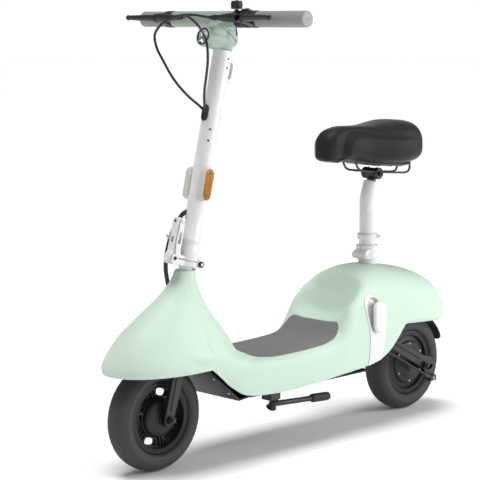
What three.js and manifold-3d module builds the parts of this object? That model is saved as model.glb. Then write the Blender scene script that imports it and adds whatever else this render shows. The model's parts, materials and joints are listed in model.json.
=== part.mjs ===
// A seated electric scooter: steel frame under a three-piece moulded body, raked folding stem, two ten-inch
// wheels, a bicycle-style saddle on a bent post and a folding kickstand.
// Millimetres. +X forward, +Y to the rider's left, +Z up, ground at z = 0, origin at the middle of the length.
import * as THREE from "three";
import { mergeVertices } from "three/addons/utils/BufferGeometryUtils.js";
import Module from "manifold-3d";

const wasm = await Module();
wasm.setup();

// Driving dimensions of the whole vehicle
const wheelbase = 912;
const wheelRadius = 130;
const tyreWidth = 68;
const noseOverhang = 134;
const rakeAngle = THREE.MathUtils.degToRad(13.5);
const forkOffset = 21;
const wall = 3;
const gap = 0.3;
const overrun = 40;
const wheelFacets = 36;
const flatTolerance = 0.02;

const rollRadius = wheelRadius * Math.cos(Math.PI / wheelFacets);
const overallLength = noseOverhang + wheelbase + rollRadius;
const frontAxleX = overallLength / 2 - noseOverhang;
const rearAxleX = frontAxleX - wheelbase;
const axleZ = rollRadius;

// The steering axis: u points forward across it, s runs up along it from the ground.
const rakeSin = Math.sin(rakeAngle);
const rakeCos = Math.cos(rakeAngle);
const frontAxleS = (axleZ - forkOffset * rakeSin) / rakeCos;
const steeringGroundX = frontAxleX - forkOffset * rakeCos + frontAxleS * rakeSin;
const steeringMatrix = new THREE.Matrix4()
  .makeRotationY(-rakeAngle)
  .setPosition(steeringGroundX, 0, 0);
const steeringX = (z) => steeringGroundX - (z * rakeSin) / rakeCos;

// Materials
const paint = (color, roughness, metalness = 0) =>
  new THREE.MeshStandardMaterial({ color, roughness, metalness });
const mintPlastic = paint(0xcdeedb, 0.45);
const whitePaint = paint(0xf1f2f2, 0.35, 0.2);
const blackPlastic = paint(0x1c1d1e, 0.6);
const blackMetal = paint(0x161718, 0.45, 0.6);
const tyreRubber = paint(0x2b2c2e, 0.85);
const greyRubber = paint(0x8a8a8a, 0.8);
const alloy = paint(0x3a3b3d, 0.45, 0.7);
const steel = paint(0xb9bcc0, 0.3, 0.9);
const amberPlastic = paint(0xe08a12, 0.25);
const clearPlastic = paint(0xdfe6ea, 0.08);
const saddleSkin = paint(0x2a2a2b, 0.7);
const batteryWrap = paint(0x30343a, 0.6);

// Solids: a closed geometry becomes a solid with its faces pointing out.
function solidOf(geometry) {
  const bare = geometry.index ? geometry.toNonIndexed() : geometry.clone();
  bare.deleteAttribute("normal");
  bare.deleteAttribute("uv");
  const merged = mergeVertices(bare, 1e-3);
  const triVerts = new Uint32Array(merged.index.array);
  const vertProperties = merged.attributes.position.array;
  const made = new wasm.Manifold(new wasm.Mesh({ numProp: 3, vertProperties, triVerts }));
  if (made.volume() > 0) return made;
  for (let i = 0; i < triVerts.length; i += 3) {
    [triVerts[i + 1], triVerts[i + 2]] = [triVerts[i + 2], triVerts[i + 1]];
  }
  return new wasm.Manifold(new wasm.Mesh({ numProp: 3, vertProperties, triVerts }));
}

// Faces that lie in one plane, left over from cuts, are drawn as few triangles.
function geometryOf(solid) {
  const mesh = solid.asOriginal().simplify(flatTolerance).getMesh();
  const geometry = new THREE.BufferGeometry();
  geometry.setAttribute("position", new THREE.BufferAttribute(mesh.vertProperties, 3));
  geometry.setIndex(new THREE.BufferAttribute(mesh.triVerts, 1));
  geometry.computeVertexNormals();
  return geometry;
}

const joined = (...solids) => solids.reduce((sum, solid) => sum.add(solid));
const cut = (body, ...tools) => tools.reduce((rest, tool) => rest.subtract(tool), body);

// A box from its two corners.
function block(x0, x1, y0, y1, z0, z1) {
  const geometry = new THREE.BoxGeometry(x1 - x0, y1 - y0, z1 - z0);
  geometry.translate((x0 + x1) / 2, (y0 + y1) / 2, (z0 + z1) / 2);
  return solidOf(geometry);
}

// A round bar between two points.
function rod(from, to, radius, sides = 14, endRadius = radius) {
  const axis = new THREE.Vector3().subVectors(to, from);
  const geometry = new THREE.CylinderGeometry(endRadius, radius, axis.length(), sides);
  const turn = new THREE.Quaternion().setFromUnitVectors(
    new THREE.Vector3(0, 1, 0),
    axis.clone().normalize(),
  );
  geometry.applyQuaternion(turn);
  geometry.translate((from.x + to.x) / 2, (from.y + to.y) / 2, (from.z + to.z) / 2);
  return solidOf(geometry);
}

const point = (x, y, z) => new THREE.Vector3(x, y, z);
const rodAlongY = (x, z, y0, y1, radius, sides = 14) =>
  rod(point(x, y0, z), point(x, y1, z), radius, sides);
const rodAlongZ = (x, y, z0, z1, radius, sides = 16) =>
  rod(point(x, y, z0), point(x, y, z1), radius, sides);

// An outline is a list of corners or a finished shape.
const shapeOf = (outline) =>
  outline instanceof THREE.Shape
    ? outline
    : new THREE.Shape(outline.map(([across, up]) => new THREE.Vector2(across, up)));

// An outline drawn in the side view, given thickness across the vehicle.
function sidePlate(outline, y0, y1) {
  const shape = shapeOf(outline);
  const geometry = new THREE.ExtrudeGeometry(shape, { depth: y1 - y0, bevelEnabled: false, curveSegments: 5 });
  geometry.rotateX(Math.PI / 2);
  geometry.translate(0, y1, 0);
  return solidOf(geometry);
}

// An outline drawn in plan, given thickness upwards.
function planPlate(outline, z0, z1) {
  const shape = shapeOf(outline);
  const geometry = new THREE.ExtrudeGeometry(shape, { depth: z1 - z0, bevelEnabled: false, curveSegments: 6 });
  geometry.translate(0, 0, z0);
  return solidOf(geometry);
}

// A slot shape with round ends: length along the second axis, both ends half circles.
function slotShape(centreX, centreY, width, length) {
  const radius = width / 2;
  const half = length / 2 - radius;
  const shape = new THREE.Shape();
  shape.absarc(centreX, centreY + half, radius, 0, Math.PI, false);
  shape.absarc(centreX, centreY - half, radius, Math.PI, Math.PI * 2, false);
  shape.closePath();
  return shape;
}

// A profile of [radius, place] turned about the wheel axle's direction.
function turned(profile, segments) {
  const geometry = new THREE.LatheGeometry(
    profile.map(([radius, place]) => new THREE.Vector2(radius, place)),
    segments,
  );
  return solidOf(geometry);
}

// A skin through rings of points, closed at both ends by a fan.
function loft(rings) {
  const sides = rings[0].length;
  const places = rings.flat();
  const middles = [rings[0], rings[rings.length - 1]].map((ring) =>
    ring.reduce((sum, place) => sum.add(place), new THREE.Vector3()).divideScalar(sides),
  );
  const first = places.length;
  const index = [];
  for (let r = 0; r + 1 < rings.length; r += 1) {
    for (let i = 0; i < sides; i += 1) {
      const a = r * sides + i;
      const b = r * sides + ((i + 1) % sides);
      index.push(a, b, b + sides, a, b + sides, a + sides);
    }
  }
  const last = (rings.length - 1) * sides;
  for (let i = 0; i < sides; i += 1) {
    const next = (i + 1) % sides;
    index.push(first, next, i, first + 1, last + i, last + next);
  }
  const positions = [...places, ...middles].flatMap((place) => place.toArray());
  const geometry = new THREE.BufferGeometry();
  geometry.setAttribute("position", new THREE.Float32BufferAttribute(positions, 3));
  geometry.setIndex(index);
  return solidOf(geometry);
}

// A round tube along a smooth path.
function sweep(route, radius, sides, steps) {
  const section = new THREE.Shape();
  section.absarc(0, 0, radius, 0, Math.PI * 2, false);
  const path = new THREE.CatmullRomCurve3(route.map(([x, y, z]) => point(x, y, z)));
  const geometry = new THREE.ExtrudeGeometry(section, {
    steps,
    curveSegments: sides / 2,
    bevelEnabled: false,
    extrudePath: path,
  });
  return solidOf(geometry);
}

// A round tube through stations, its rings standing square to the way at each one.
function pipe(route, radius, sides) {
  const places = route.map(([x, y, z]) => point(x, y, z));
  const side = point(0, 1, 0);
  return loft(
    places.map((place, i) => {
      const before = places[Math.max(i - 1, 0)];
      const after = places[Math.min(i + 1, places.length - 1)];
      const way = after.clone().sub(before).normalize();
      const up = new THREE.Vector3().crossVectors(way, side).normalize();
      return Array.from({ length: sides }, (_, n) => {
        const angle = (Math.PI * 2 * n) / sides;
        return place
          .clone()
          .addScaledVector(side, radius * Math.cos(angle))
          .addScaledVector(up, radius * Math.sin(angle));
      });
    }),
  );
}

const scooter = new THREE.Group();
const steering = new THREE.Group();
steering.applyMatrix4(steeringMatrix);
scooter.add(steering);

function addTo(group, name, solid, material) {
  const mesh = new THREE.Mesh(geometryOf(solid), material);
  mesh.name = name;
  group.add(mesh);
}

// A solid drawn along the steering axis, moved into the vehicle's own axes.
const alongSteering = (solid) => solid.transform(steeringMatrix.toArray());

// The moulded body: a loft from the tail to the leg behind the front wheel, and a horn round the steering head.
const bodyFrontX = 366;
const bodyTailX = -572;
const bodyBottomZ = 151;
const bodyTopZ = 419;
const bodyHalfWidth = 115;
const bodyTuck = 12;
const scoopDepth = 54;
const scoopHalfWidth = 98;
const bodyRise = bodyTopZ - bodyBottomZ;
// Each row: place from tail to front, top, bottom, half width, scoop depth, widest height, all shares; squareness.
const bodyStationShares = [
  [0.0, 0.42, 0.373, 0.2, 0, 0.1, 2.0],
  [0.014, 0.545, 0.373, 0.54, 0, 0.1, 2.2],
  [0.04, 0.683, 0.373, 0.76, 0, 0.1, 2.3],
  [0.077, 0.799, 0.377, 0.89, 0, 0.1, 2.4],
  [0.13, 0.884, 0.384, 0.965, 0, 0.1, 2.5],
  [0.183, 0.937, 0.396, 0.99, 0, 0.12, 2.5],
  [0.233, 0.97, 0.407, 1, 0, 0.14, 2.6],
  [0.27, 0.99, 0.28, 1, 0, 0.2, 2.6],
  [0.302, 1.0, 0.18, 1, 0, 0.28, 2.7],
  [0.335, 0.996, 0.118, 1, 0.04, 0.32, 2.7],
  [0.366, 0.98, 0.09, 1, 0.16, 0.34, 2.8],
  [0.396, 0.94, 0.072, 1, 0.42, 0.36, 2.9],
  [0.426, 0.877, 0.06, 1, 0.82, 0.38, 3.0],
  [0.45, 0.8, 0.052, 1, 1.0, 0.4, 3.1],
  [0.471, 0.704, 0.046, 1, 0.82, 0.42, 3.3],
  [0.49, 0.58, 0.042, 1, 0.44, 0.46, 3.6],
  [0.512, 0.47, 0.037, 1, 0.12, 0.52, 4.0],
  [0.54, 0.396, 0.03, 1, 0, 0.58, 4.4],
  [0.588, 0.366, 0.015, 1, 0, 0.6, 4.5],
  [0.727, 0.351, 0.0, 1, 0, 0.6, 4.5],
  [0.802, 0.358, 0.011, 1, 0, 0.6, 4.5],
  [0.872, 0.384, 0.045, 1, 0, 0.6, 4.2],
  [0.926, 0.43, 0.146, 0.985, 0, 0.5, 4.0],
  [0.969, 0.451, 0.265, 0.965, 0, 0.4, 4.0],
  [1.0, 0.437, 0.347, 0.94, 0, 0.35, 4.0],
];
const sectionArc = 6;
const innerArc = 4;
const sectionSide = 2;

// One cross-section of the body: from the left bottom edge over the top to the right bottom edge.
function bodyRing([along, top, bottom, width, scoop, widest, square], inset, drop, arcSteps) {
  const x = bodyTailX + along * (bodyFrontX - bodyTailX);
  const topZ = bodyBottomZ + top * bodyRise - inset;
  const bottomZ = bodyBottomZ + bottom * bodyRise;
  const wideZ = bottomZ + widest * (topZ + inset - bottomZ);
  const half = Math.max(width * bodyHalfWidth - inset, gap);
  const right = [];
  for (let i = 0; i <= arcSteps; i += 1) {
    const angle = (Math.PI / 2) * (i / arcSteps);
    const y = half * Math.sin(angle) ** (2 / square);
    const across = Math.min(y / scoopHalfWidth, 1);
    const dip = scoop * scoopDepth * (1 - across ** 2) ** 2;
    right.push([y, wideZ + (topZ - wideZ) * Math.cos(angle) ** (2 / square) - dip]);
  }
  for (let i = 1; i <= sectionSide; i += 1) {
    const down = i / sectionSide;
    right.push([half - bodyTuck * width * down ** 2, wideZ - (wideZ - bottomZ) * down]);
  }
  if (drop > 0) right.push([half - bodyTuck * width, bottomZ - drop]);
  const rightSide = right.map(([y, z]) => point(x, -y, z));
  const leftSide = right.slice(1).reverse().map(([y, z]) => point(x, y, z));
  return [...leftSide, ...rightSide];
}

function bodyLoft(inset, drop = 0) {
  const arcSteps = inset > 0 ? innerArc : sectionArc;
  const rings = bodyStationShares.map((row) => bodyRing(row, inset, drop, arcSteps));
  if (inset <= 0) return loft(rings);
  return loft(rings.map((ring, i) => (i > 0 ? ring : ring.map((p) => p.clone().setX(p.x + inset)))));
}

// The horn: level outlines round the steering axis, from the neck down to the skirt over the front wheel.
const neckTopZ = 469;
const skirtZ = 243;
const hornFront = overallLength / 2 - steeringX(258);
const hornSide = 113;
const hornRear = 195;
const hornSquare = 2.15;
const hornSides = 24;
const hornInnerSides = 16;
const neckWall = 3;
// Each row: height from the skirt to the neck top, then front, side and rear reach, all shares.
const hornLevelShares = [
  [0.0, 0.972, 0.965, 1.0],
  [0.066, 1.0, 1.0, 0.97],
  [0.155, 0.982, 0.956, 0.88],
  [0.252, 0.93, 0.885, 0.78],
  [0.367, 0.838, 0.779, 0.65],
  [0.496, 0.677, 0.637, 0.49],
  [0.606, 0.516, 0.513, 0.37],
  [0.726, 0.339, 0.389, 0.262],
  [0.836, 0.229, 0.292, 0.19],
  [0.938, 0.156, 0.236, 0.143],
  [1.0, 0.135, 0.222, 0.129],
];

function hornRing([height, front, side, rear], inset) {
  const z = skirtZ + height * (neckTopZ - skirtZ);
  const sides = inset > 0 ? hornInnerSides : hornSides;
  const ring = [];
  for (let i = 0; i < sides; i += 1) {
    const angle = (Math.PI * 2 * i) / sides;
    const reach = Math.cos(angle) > 0 ? front * hornFront : rear * hornRear;
    const bend = (value) => Math.sign(value) * Math.abs(value) ** (2 / hornSquare);
    ring.push(
      point(
        steeringX(z) + (reach - inset) * bend(Math.cos(angle)),
        (side * hornSide - inset) * bend(Math.sin(angle)),
        z,
      ),
    );
  }
  return ring;
}

function hornLoft(inset) {
  const rings = hornLevelShares.map((row) => hornRing(row, inset));
  if (inset <= 0) return loft(rings);
  const above = rings[rings.length - 1].map((p) => p.clone().setZ(p.z + overrun));
  const below = rings[0].map((p) => p.clone().setZ(p.z - wall));
  return loft([below, ...rings, above]);
}

const seatTubeX = -309;
const seatTubeRadius = 23.5;
const shroudSeamX = 236;
const tailSeamX = -96;

function bodyShells() {
  const outer = joined(bodyLoft(0), hornLoft(0));
  const inner = joined(bodyLoft(wall, overrun), hornLoft(neckWall));
  const seatHole = rodAlongZ(seatTubeX, 0, bodyBottomZ, bodyTopZ + overrun, seatTubeRadius + gap, 24);
  const shell = cut(outer, inner, seatHole);
  const slab = (x0, x1) => block(x0, x1, -2 * bodyHalfWidth, 2 * bodyHalfWidth, 0, 2 * bodyTopZ);
  return {
    front: shell.intersect(slab(shroudSeamX + gap / 2, overallLength)),
    deck: shell.intersect(slab(tailSeamX + gap / 2, shroudSeamX - gap / 2)),
    rear: shell.intersect(slab(-overallLength, tailSeamX - gap / 2)),
  };
}

// A thin piece that lies on the body's outside: what a cutter takes from the layer above the skin.
function layerOnBody(cutter, thickness) {
  return cut(bodyLoft(-gap - thickness).intersect(cutter), bodyLoft(-gap), hornLoft(-gap));
}

const shells = bodyShells();
addTo(scooter, "deck_shell", shells.deck, mintPlastic);
addTo(scooter, "rear_shell", shells.rear, mintPlastic);

// The rubber mat lies in the deck between the horn and the foot of the hump.
const matFrontX = 215;
const matRearX = -104;
const matHalfWidth = 94;
const matCorner = 30;
const matThickness = 2.5;
{
  const shape = new THREE.Shape();
  shape.moveTo(matRearX + matCorner, -matHalfWidth);
  shape.lineTo(matFrontX, -matHalfWidth);
  shape.lineTo(matFrontX, matHalfWidth);
  shape.lineTo(matRearX + matCorner, matHalfWidth);
  shape.absarc(matRearX + matCorner, matHalfWidth - matCorner, matCorner, Math.PI / 2, Math.PI, false);
  shape.absarc(matRearX + matCorner, matCorner - matHalfWidth, matCorner, Math.PI, Math.PI * 1.5, false);
  const cutter = planPlate(shape, bodyBottomZ + bodyRise / 4, bodyTopZ);
  addTo(scooter, "deck_mat", layerOnBody(cutter, matThickness), greyRubber);
}

// The steering head: lower and upper bearings between the frame's head tube and the fork's steerer.
const steererRadius = 14.3;
const headTubeRadius = 19.5;
const headTubeBore = 15.5;
const cupRadius = 21.4;
const bearingHeight = 12;
const headBottomS = 330;
const headTopS = 474;
const bearingBore = steererRadius + gap;

function bearing(bottomS) {
  return cut(
    rodAlongZ(0, 0, bottomS, bottomS + bearingHeight, headTubeRadius, 18),
    rodAlongZ(0, 0, bottomS - gap, bottomS + bearingHeight + gap, bearingBore, 18),
  );
}

// The welded steel frame.
const railY = 62;
const railWidth = 20;
const railBottomZ = 157.3;
const railTopZ = 181;
const railFrontX = 240;
const railRearX = -235;
const downTubeRadius = 17;
const seatTubeTopZ = 446;
const seatTubeBottomZ = 236;
const seatTubeBore = 21.9;
const sidePlateY = 66;
const sidePlateThickness = 6;
const crossHalf = 72;
const crossBarHalf = 9;
const fenderTabX = -352;
const fenderInner = 137;
const fenderThickness = 3;
const postRadius = 8;
const deckPostXs = [150, -30];

// Height of the body's inner skin over a point of the deck.
function deckInnerZ(x, y) {
  const along = (x - bodyTailX) / (bodyFrontX - bodyTailX);
  const next = bodyStationShares.findIndex((row) => row[0] > along);
  const [low, high] = [bodyStationShares[next - 1], bodyStationShares[next]];
  const part = (along - low[0]) / (high[0] - low[0]);
  const mixed = low.map((value, i) => value + (high[i] - value) * part);
  const topZ = bodyBottomZ + mixed[1] * bodyRise - wall;
  const bottomZ = bodyBottomZ + mixed[2] * bodyRise;
  const wideZ = bottomZ + mixed[5] * (topZ + wall - bottomZ);
  const share = Math.min(Math.abs(y) / (mixed[3] * bodyHalfWidth - wall), 1);
  return wideZ + (topZ - wideZ) * (1 - share ** mixed[6]) ** (1 / mixed[6]);
}

// A post ends under the lowest point of the skin above it.
const postTopZ = (x, y) =>
  Math.min(
    ...[-postRadius, postRadius].map((step) => deckInnerZ(x + step, Math.abs(y) + postRadius)),
  );

{
  const headTube = alongSteering(
    cut(
      joined(
        rodAlongZ(0, 0, headBottomS, headTopS, headTubeRadius, 18),
        rodAlongZ(0, 0, headTopS - 2 * bearingHeight, headTopS, cupRadius, 18),
        rodAlongZ(0, 0, headBottomS, headBottomS + 2 * bearingHeight, cupRadius + gap, 18),
      ),
      rodAlongZ(0, 0, headBottomS - gap, headTopS + gap, headTubeBore, 18),
      rodAlongZ(0, 0, headBottomS - gap, headBottomS + bearingHeight + gap, headTubeRadius + gap, 18),
      rodAlongZ(0, 0, headTopS - bearingHeight - gap, headTopS + gap, headTubeRadius + gap, 18),
    ),
  );
  const downTubeRoute = [
    [352, 385],
    [335, 355],
    [303, 308],
    [270, 245],
    [238, 196],
  ];
  const downTube = sweep(downTubeRoute.map(([x, z]) => [x, 0, z]), downTubeRadius, 12, 8);
  const clearBore = alongSteering(rodAlongZ(0, 0, headBottomS, headTopS, headTubeBore, 18));
  const rails = [-1, 1].map((side) =>
    block(railRearX, railFrontX, side * railY - railWidth / 2, side * railY + railWidth / 2, railBottomZ, railTopZ),
  );
  const frontCross = block(railFrontX - 26, railFrontX, -crossHalf, crossHalf, railBottomZ, railTopZ + 22);
  const midCross = block(-96, -72, -crossHalf, crossHalf, railBottomZ, railTopZ);
  const rearCross = block(railRearX, railRearX + 24, -crossHalf, crossHalf, railBottomZ, railTopZ);
  const plateOutline = [
    [railRearX + 24, railBottomZ],
    [railRearX + 24, railTopZ],
    [seatTubeX + 30, 262],
    [seatTubeX - 14, 262],
    [seatTubeX - 14, 232],
    [railRearX - 18, 192],
    [railRearX - 6, railBottomZ],
  ];
  const plates = [-1, 1].map((side) => {
    const inner = side * sidePlateY;
    const outer = side * (sidePlateY + sidePlateThickness);
    return sidePlate(plateOutline, Math.min(inner, outer), Math.max(inner, outer));
  });
  const crossBar = block(
    seatTubeX - crossBarHalf,
    seatTubeX + crossBarHalf,
    -crossHalf,
    crossHalf,
    seatTubeBottomZ + 2,
    seatTubeBottomZ + 22,
  );
  const fenderTab = cut(
    sidePlate(
      [
        [seatTubeX, 240],
        [fenderTabX, 214],
        [fenderTabX - 12, 224],
        [seatTubeX, 252],
      ],
      -12,
      12,
    ),
    rodAlongY(rearAxleX, axleZ, -20, 20, fenderInner + fenderThickness + gap, 72),
  );
  const seatTube = rodAlongZ(seatTubeX, 0, seatTubeBottomZ, seatTubeTopZ, seatTubeRadius, 18);
  const seatBore = rodAlongZ(seatTubeX, 0, seatTubeBottomZ - overrun, seatTubeTopZ + gap, seatTubeBore, 18);
  const posts = deckPostXs.flatMap((x) =>
    [-railY, railY].map((y) => rodAlongZ(x, y, railTopZ - gap, postTopZ(x, y) - gap, postRadius, 8)),
  );
  const frame = cut(
    joined(headTube, cut(downTube, clearBore), ...rails, frontCross, midCross, rearCross, ...plates, crossBar, seatTube, fenderTab, ...posts),
    seatBore,
  );
  addTo(scooter, "main_frame", frame, blackMetal);
  addTo(steering, "lower_bearing", bearing(headBottomS + gap / 2), steel);
  addTo(steering, "upper_bearing", bearing(headTopS - bearingHeight - gap / 2), steel);
}

// The fork: steerer, crown and two legs down to the front axle.
const axleRadius = 6;
const legInnerY = 43;
const legThickness = 13;
const legOuterY = legInnerY + legThickness;
const crownBottomS = 282;
const crownTopS = 304;
const steererTopS = 494;
const nutRadius = 10;
const nutThickness = 9;

function axle(x, z, half, sides = 12) {
  const nuts = [-1, 1].map((side) => {
    const inner = side * (half + gap);
    return rodAlongY(x, z, Math.min(inner, inner + side * nutThickness), Math.max(inner, inner + side * nutThickness), nutRadius, 6);
  });
  const reach = half + nutThickness + 6;
  return joined(rodAlongY(x, z, -reach, reach, axleRadius, sides), ...nuts);
}

{
  const legOutline = [
    [-8, crownTopS],
    [24, crownTopS],
    [33, crownBottomS - 30],
    [36, 140],
    [34, 118],
    [21, 108],
    [9, 118],
    [7, 140],
    [-4, crownBottomS - 34],
  ];
  const legs = [-1, 1].map((side) =>
    sidePlate(legOutline, Math.min(side * legInnerY, side * legOuterY), Math.max(side * legInnerY, side * legOuterY)),
  );
  const crown = block(-18, 26, -legOuterY, legOuterY, crownBottomS, crownTopS);
  const race = rodAlongZ(0, 0, crownTopS - gap, headBottomS - gap, headTubeRadius, 18);
  const steerer = rodAlongZ(0, 0, crownBottomS, steererTopS, steererRadius, 18);
  const bore = rodAlongY(forkOffset, frontAxleS, -2 * legOuterY, 2 * legOuterY, axleRadius + gap, 12);
  addTo(steering, "fork", cut(joined(...legs, crown, race, steerer), bore), blackMetal);
  addTo(steering, "front_axle", axle(forkOffset, frontAxleS, legOuterY), steel);
}

// The wheels: a tubeless tyre on a cast rim, with a spoked drum hub in front and a motor hub behind.
const rimSeatRadius = 81.4;
const rimSeatHalf = 20;
const rimFlangeRadius = 87;
const rimFlangeHalf = 25;
const rimBoreRadius = 74;
const treadHalf = 12;

function tyre() {
  const half = tyreWidth / 2;
  const bead = rimSeatRadius + 2 * gap;
  const flange = rimFlangeRadius + 2 * gap;
  const profile = [
    [bead, -rimSeatHalf + gap],
    [flange, -rimSeatHalf + gap],
    [flange, -rimFlangeHalf],
    [wheelRadius * 0.79, -half],
    [wheelRadius * 0.92, -half * 0.88],
    [wheelRadius, -treadHalf],
  ];
  const mirrored = profile.map(([radius, y]) => [radius, -y]).reverse();
  return turned([...profile, ...mirrored, profile[0]], wheelFacets);
}

const rimProfile = [
  [rimBoreRadius, -rimFlangeHalf],
  [rimFlangeRadius, -rimFlangeHalf],
  [rimFlangeRadius, -rimSeatHalf],
  [rimSeatRadius, -rimSeatHalf],
  [rimSeatRadius, rimSeatHalf],
  [rimFlangeRadius, rimSeatHalf],
  [rimFlangeRadius, rimFlangeHalf],
  [rimBoreRadius, rimFlangeHalf],
  [rimBoreRadius, -rimFlangeHalf],
];
const rimFacets = 18;
const windowArcSteps = 2;

function wheelGroup(x) {
  const group = new THREE.Group();
  group.position.set(x, 0, axleZ);
  group.rotation.y = Math.PI / wheelFacets;
  scooter.add(group);
  return group;
}

const spokeCount = 6;
const drumRadius = 47;
const frontHubHalf = legInnerY - gap;
const rearHubHalf = 72;
const axleBore = axleRadius + gap;

{
  const group = wheelGroup(frontAxleX);
  addTo(group, "front_tyre", tyre(), tyreRubber);
  const rim = turned(rimProfile, rimFacets);
  const hub = turned(
    [
      [axleBore, -frontHubHalf],
      [14, -frontHubHalf],
      [18, -30],
      [drumRadius, -26],
      [drumRadius, 26],
      [18, 30],
      [14, frontHubHalf],
      [axleBore, frontHubHalf],
      [axleBore, -frontHubHalf],
    ],
    rimFacets,
  );
  const web = turned(
    [
      [drumRadius - 3, -5],
      [rimBoreRadius + 2, -5],
      [rimBoreRadius + 2, 5],
      [drumRadius - 3, 5],
      [drumRadius - 3, -5],
    ],
    rimFacets,
  );
  const spread = Math.PI / spokeCount - 0.19;
  const windowArc = (radius, turn, way) =>
    Array.from({ length: windowArcSteps }, (_, i) => {
      const angle = turn + way * spread * ((2 * i) / (windowArcSteps - 1) - 1);
      return [radius * Math.cos(angle), radius * Math.sin(angle)];
    });
  const windows = Array.from({ length: spokeCount }, (_, i) => {
    const turn = (Math.PI * 2 * i) / spokeCount;
    const outline = [...windowArc(rimBoreRadius - 4, turn, 1), ...windowArc(drumRadius + 6, turn, -1)];
    return sidePlate(outline, -rimFlangeHalf, rimFlangeHalf);
  });
  addTo(group, "front_rim", joined(cut(joined(rim, web), ...windows), hub), alloy);
}

{
  const group = wheelGroup(rearAxleX);
  addTo(group, "rear_tyre", tyre(), tyreRubber);
  const motor = turned(
    [
      [axleBore, -rearHubHalf],
      [13, -rearHubHalf],
      [13, -34],
      [54, -28],
      [60, -20],
      [rimBoreRadius + 1, -16],
      [rimBoreRadius + 1, 16],
      [60, 20],
      [54, 28],
      [13, 34],
      [13, rearHubHalf],
      [axleBore, rearHubHalf],
      [axleBore, -rearHubHalf],
    ],
    rimFacets,
  );
  addTo(group, "rear_motor_rim", joined(turned(rimProfile, rimFacets), motor), alloy);
}

// The rear arms carry the motor wheel; they bolt to the outside of the frame's side plates.
const armInnerY = sidePlateY + sidePlateThickness + gap;
const armThickness = 8;
const armOuterY = armInnerY + armThickness;
const armHalf = 15;
const armFront = [-262, 240];
const armRear = [-482, 132.5];
const dropoutRadius = 20;

function rearArm(side) {
  const along = new THREE.Vector2(armRear[0] - armFront[0], armRear[1] - armFront[1]).normalize();
  const [acrossX, acrossZ] = [-along.y * armHalf, along.x * armHalf];
  const outline = [
    [armFront[0] + acrossX, armFront[1] + acrossZ],
    [armFront[0] - acrossX, armFront[1] - acrossZ],
    [armRear[0] - acrossX, armRear[1] - acrossZ],
    [armRear[0] + along.x * armHalf - acrossX / 2, armRear[1] + along.y * armHalf - acrossZ / 2],
    [armRear[0] + along.x * armHalf + acrossX / 2, armRear[1] + along.y * armHalf + acrossZ / 2],
    [armRear[0] + acrossX, armRear[1] + acrossZ],
  ];
  const y0 = Math.min(side * armInnerY, side * armOuterY);
  const y1 = Math.max(side * armInnerY, side * armOuterY);
  const lug = side > 0 ? [sidePlate([[-494, 126], [-494, 84], [-470, 84], [-462, 112]], y0, y1)] : [];
  return cut(
    joined(sidePlate(outline, y0, y1), rodAlongY(rearAxleX, axleZ, y0, y1, dropoutRadius), ...lug),
    rodAlongY(rearAxleX, axleZ, y0 - 1, y1 + 1, axleBore, 12),
  );
}
addTo(scooter, "left_rear_arm", rearArm(1), blackMetal);
addTo(scooter, "right_rear_arm", rearArm(-1), blackMetal);
addTo(scooter, "rear_axle", axle(rearAxleX, axleZ, armOuterY), steel);

// The brake cable of the rear wheel ends in an adjuster on the left arm's lug.
{
  const y = armOuterY + gap + 6;
  const housing = sweep([[-262, y, 205], [-330, y, 172], [-400, y, 134], [-452, y, 106], [-468, y, 97.5]], 3.5, 8, 10);
  const barrel = rod(point(-452, y, 106), point(-478, y, 92), 6, 12);
  const end = block(-496, -470, y - 6, y + 7, 84, 100);
  addTo(scooter, "rear_brake_cable", joined(housing, barrel, end), blackMetal);
}

// The inner fender over the rear wheel runs down behind it as a mudflap.
const fenderHalf = 56;
const flapHalf = 37;
const fenderStart = THREE.MathUtils.degToRad(24);
const flapStart = THREE.MathUtils.degToRad(140);
const flapEnd = THREE.MathUtils.degToRad(160);
{
  const arc = (inner, outer, from, to) => {
    const shape = new THREE.Shape();
    shape.absarc(rearAxleX, axleZ, outer, from, to, false);
    shape.absarc(rearAxleX, axleZ, inner, to, from, true);
    shape.closePath();
    return shape;
  };
  const guardArc = (shape, half) => {
    const geometry = new THREE.ExtrudeGeometry(shape, { depth: 2 * half, bevelEnabled: false, curveSegments: 12 });
    geometry.rotateX(Math.PI / 2);
    geometry.translate(0, half, 0);
    return solidOf(geometry);
  };
  const outer = fenderInner + fenderThickness;
  const inner = wheelRadius + 4.5;
  const fender = guardArc(arc(fenderInner, outer, fenderStart, flapStart + 0.05), fenderHalf);
  const flap = guardArc(arc(inner, inner + fenderThickness + gap, flapStart, flapEnd), flapHalf);
  addTo(scooter, "rear_fender", joined(fender, flap), blackPlastic);
}

// Under the body: the pan, the sloping cover behind the front wheel, and what the body holds.
const panBottomZ = 153;
const panHalfWidth = 96;
const panFrontX = 230;
const panRearX = -212;
const guardHalf = 92;
const guardThickness = 4;
addTo(scooter, "belly_pan", block(panRearX, panFrontX, -panHalfWidth, panHalfWidth, panBottomZ, railBottomZ - gap), blackPlastic);
const forkSweep = alongSteering(rodAlongZ(0, 0, 100, 400, 61, 24));
const guardPlate = sidePlate(
  [
    [panFrontX + gap, panBottomZ],
    [262, 150],
    [374, 246],
    [371, 249],
    [260, 150 + guardThickness],
    [panFrontX + gap, panBottomZ + guardThickness],
  ],
  -guardHalf,
  guardHalf,
);
addTo(scooter, "front_inner_guard", cut(guardPlate, forkSweep), blackPlastic);
addTo(scooter, "battery_pack", block(-280, -192, -64, 64, railTopZ + gap, 356), batteryWrap);
addTo(scooter, "controller_box", block(-40, 74, -46, 46, railBottomZ, 202), alloy);

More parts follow.
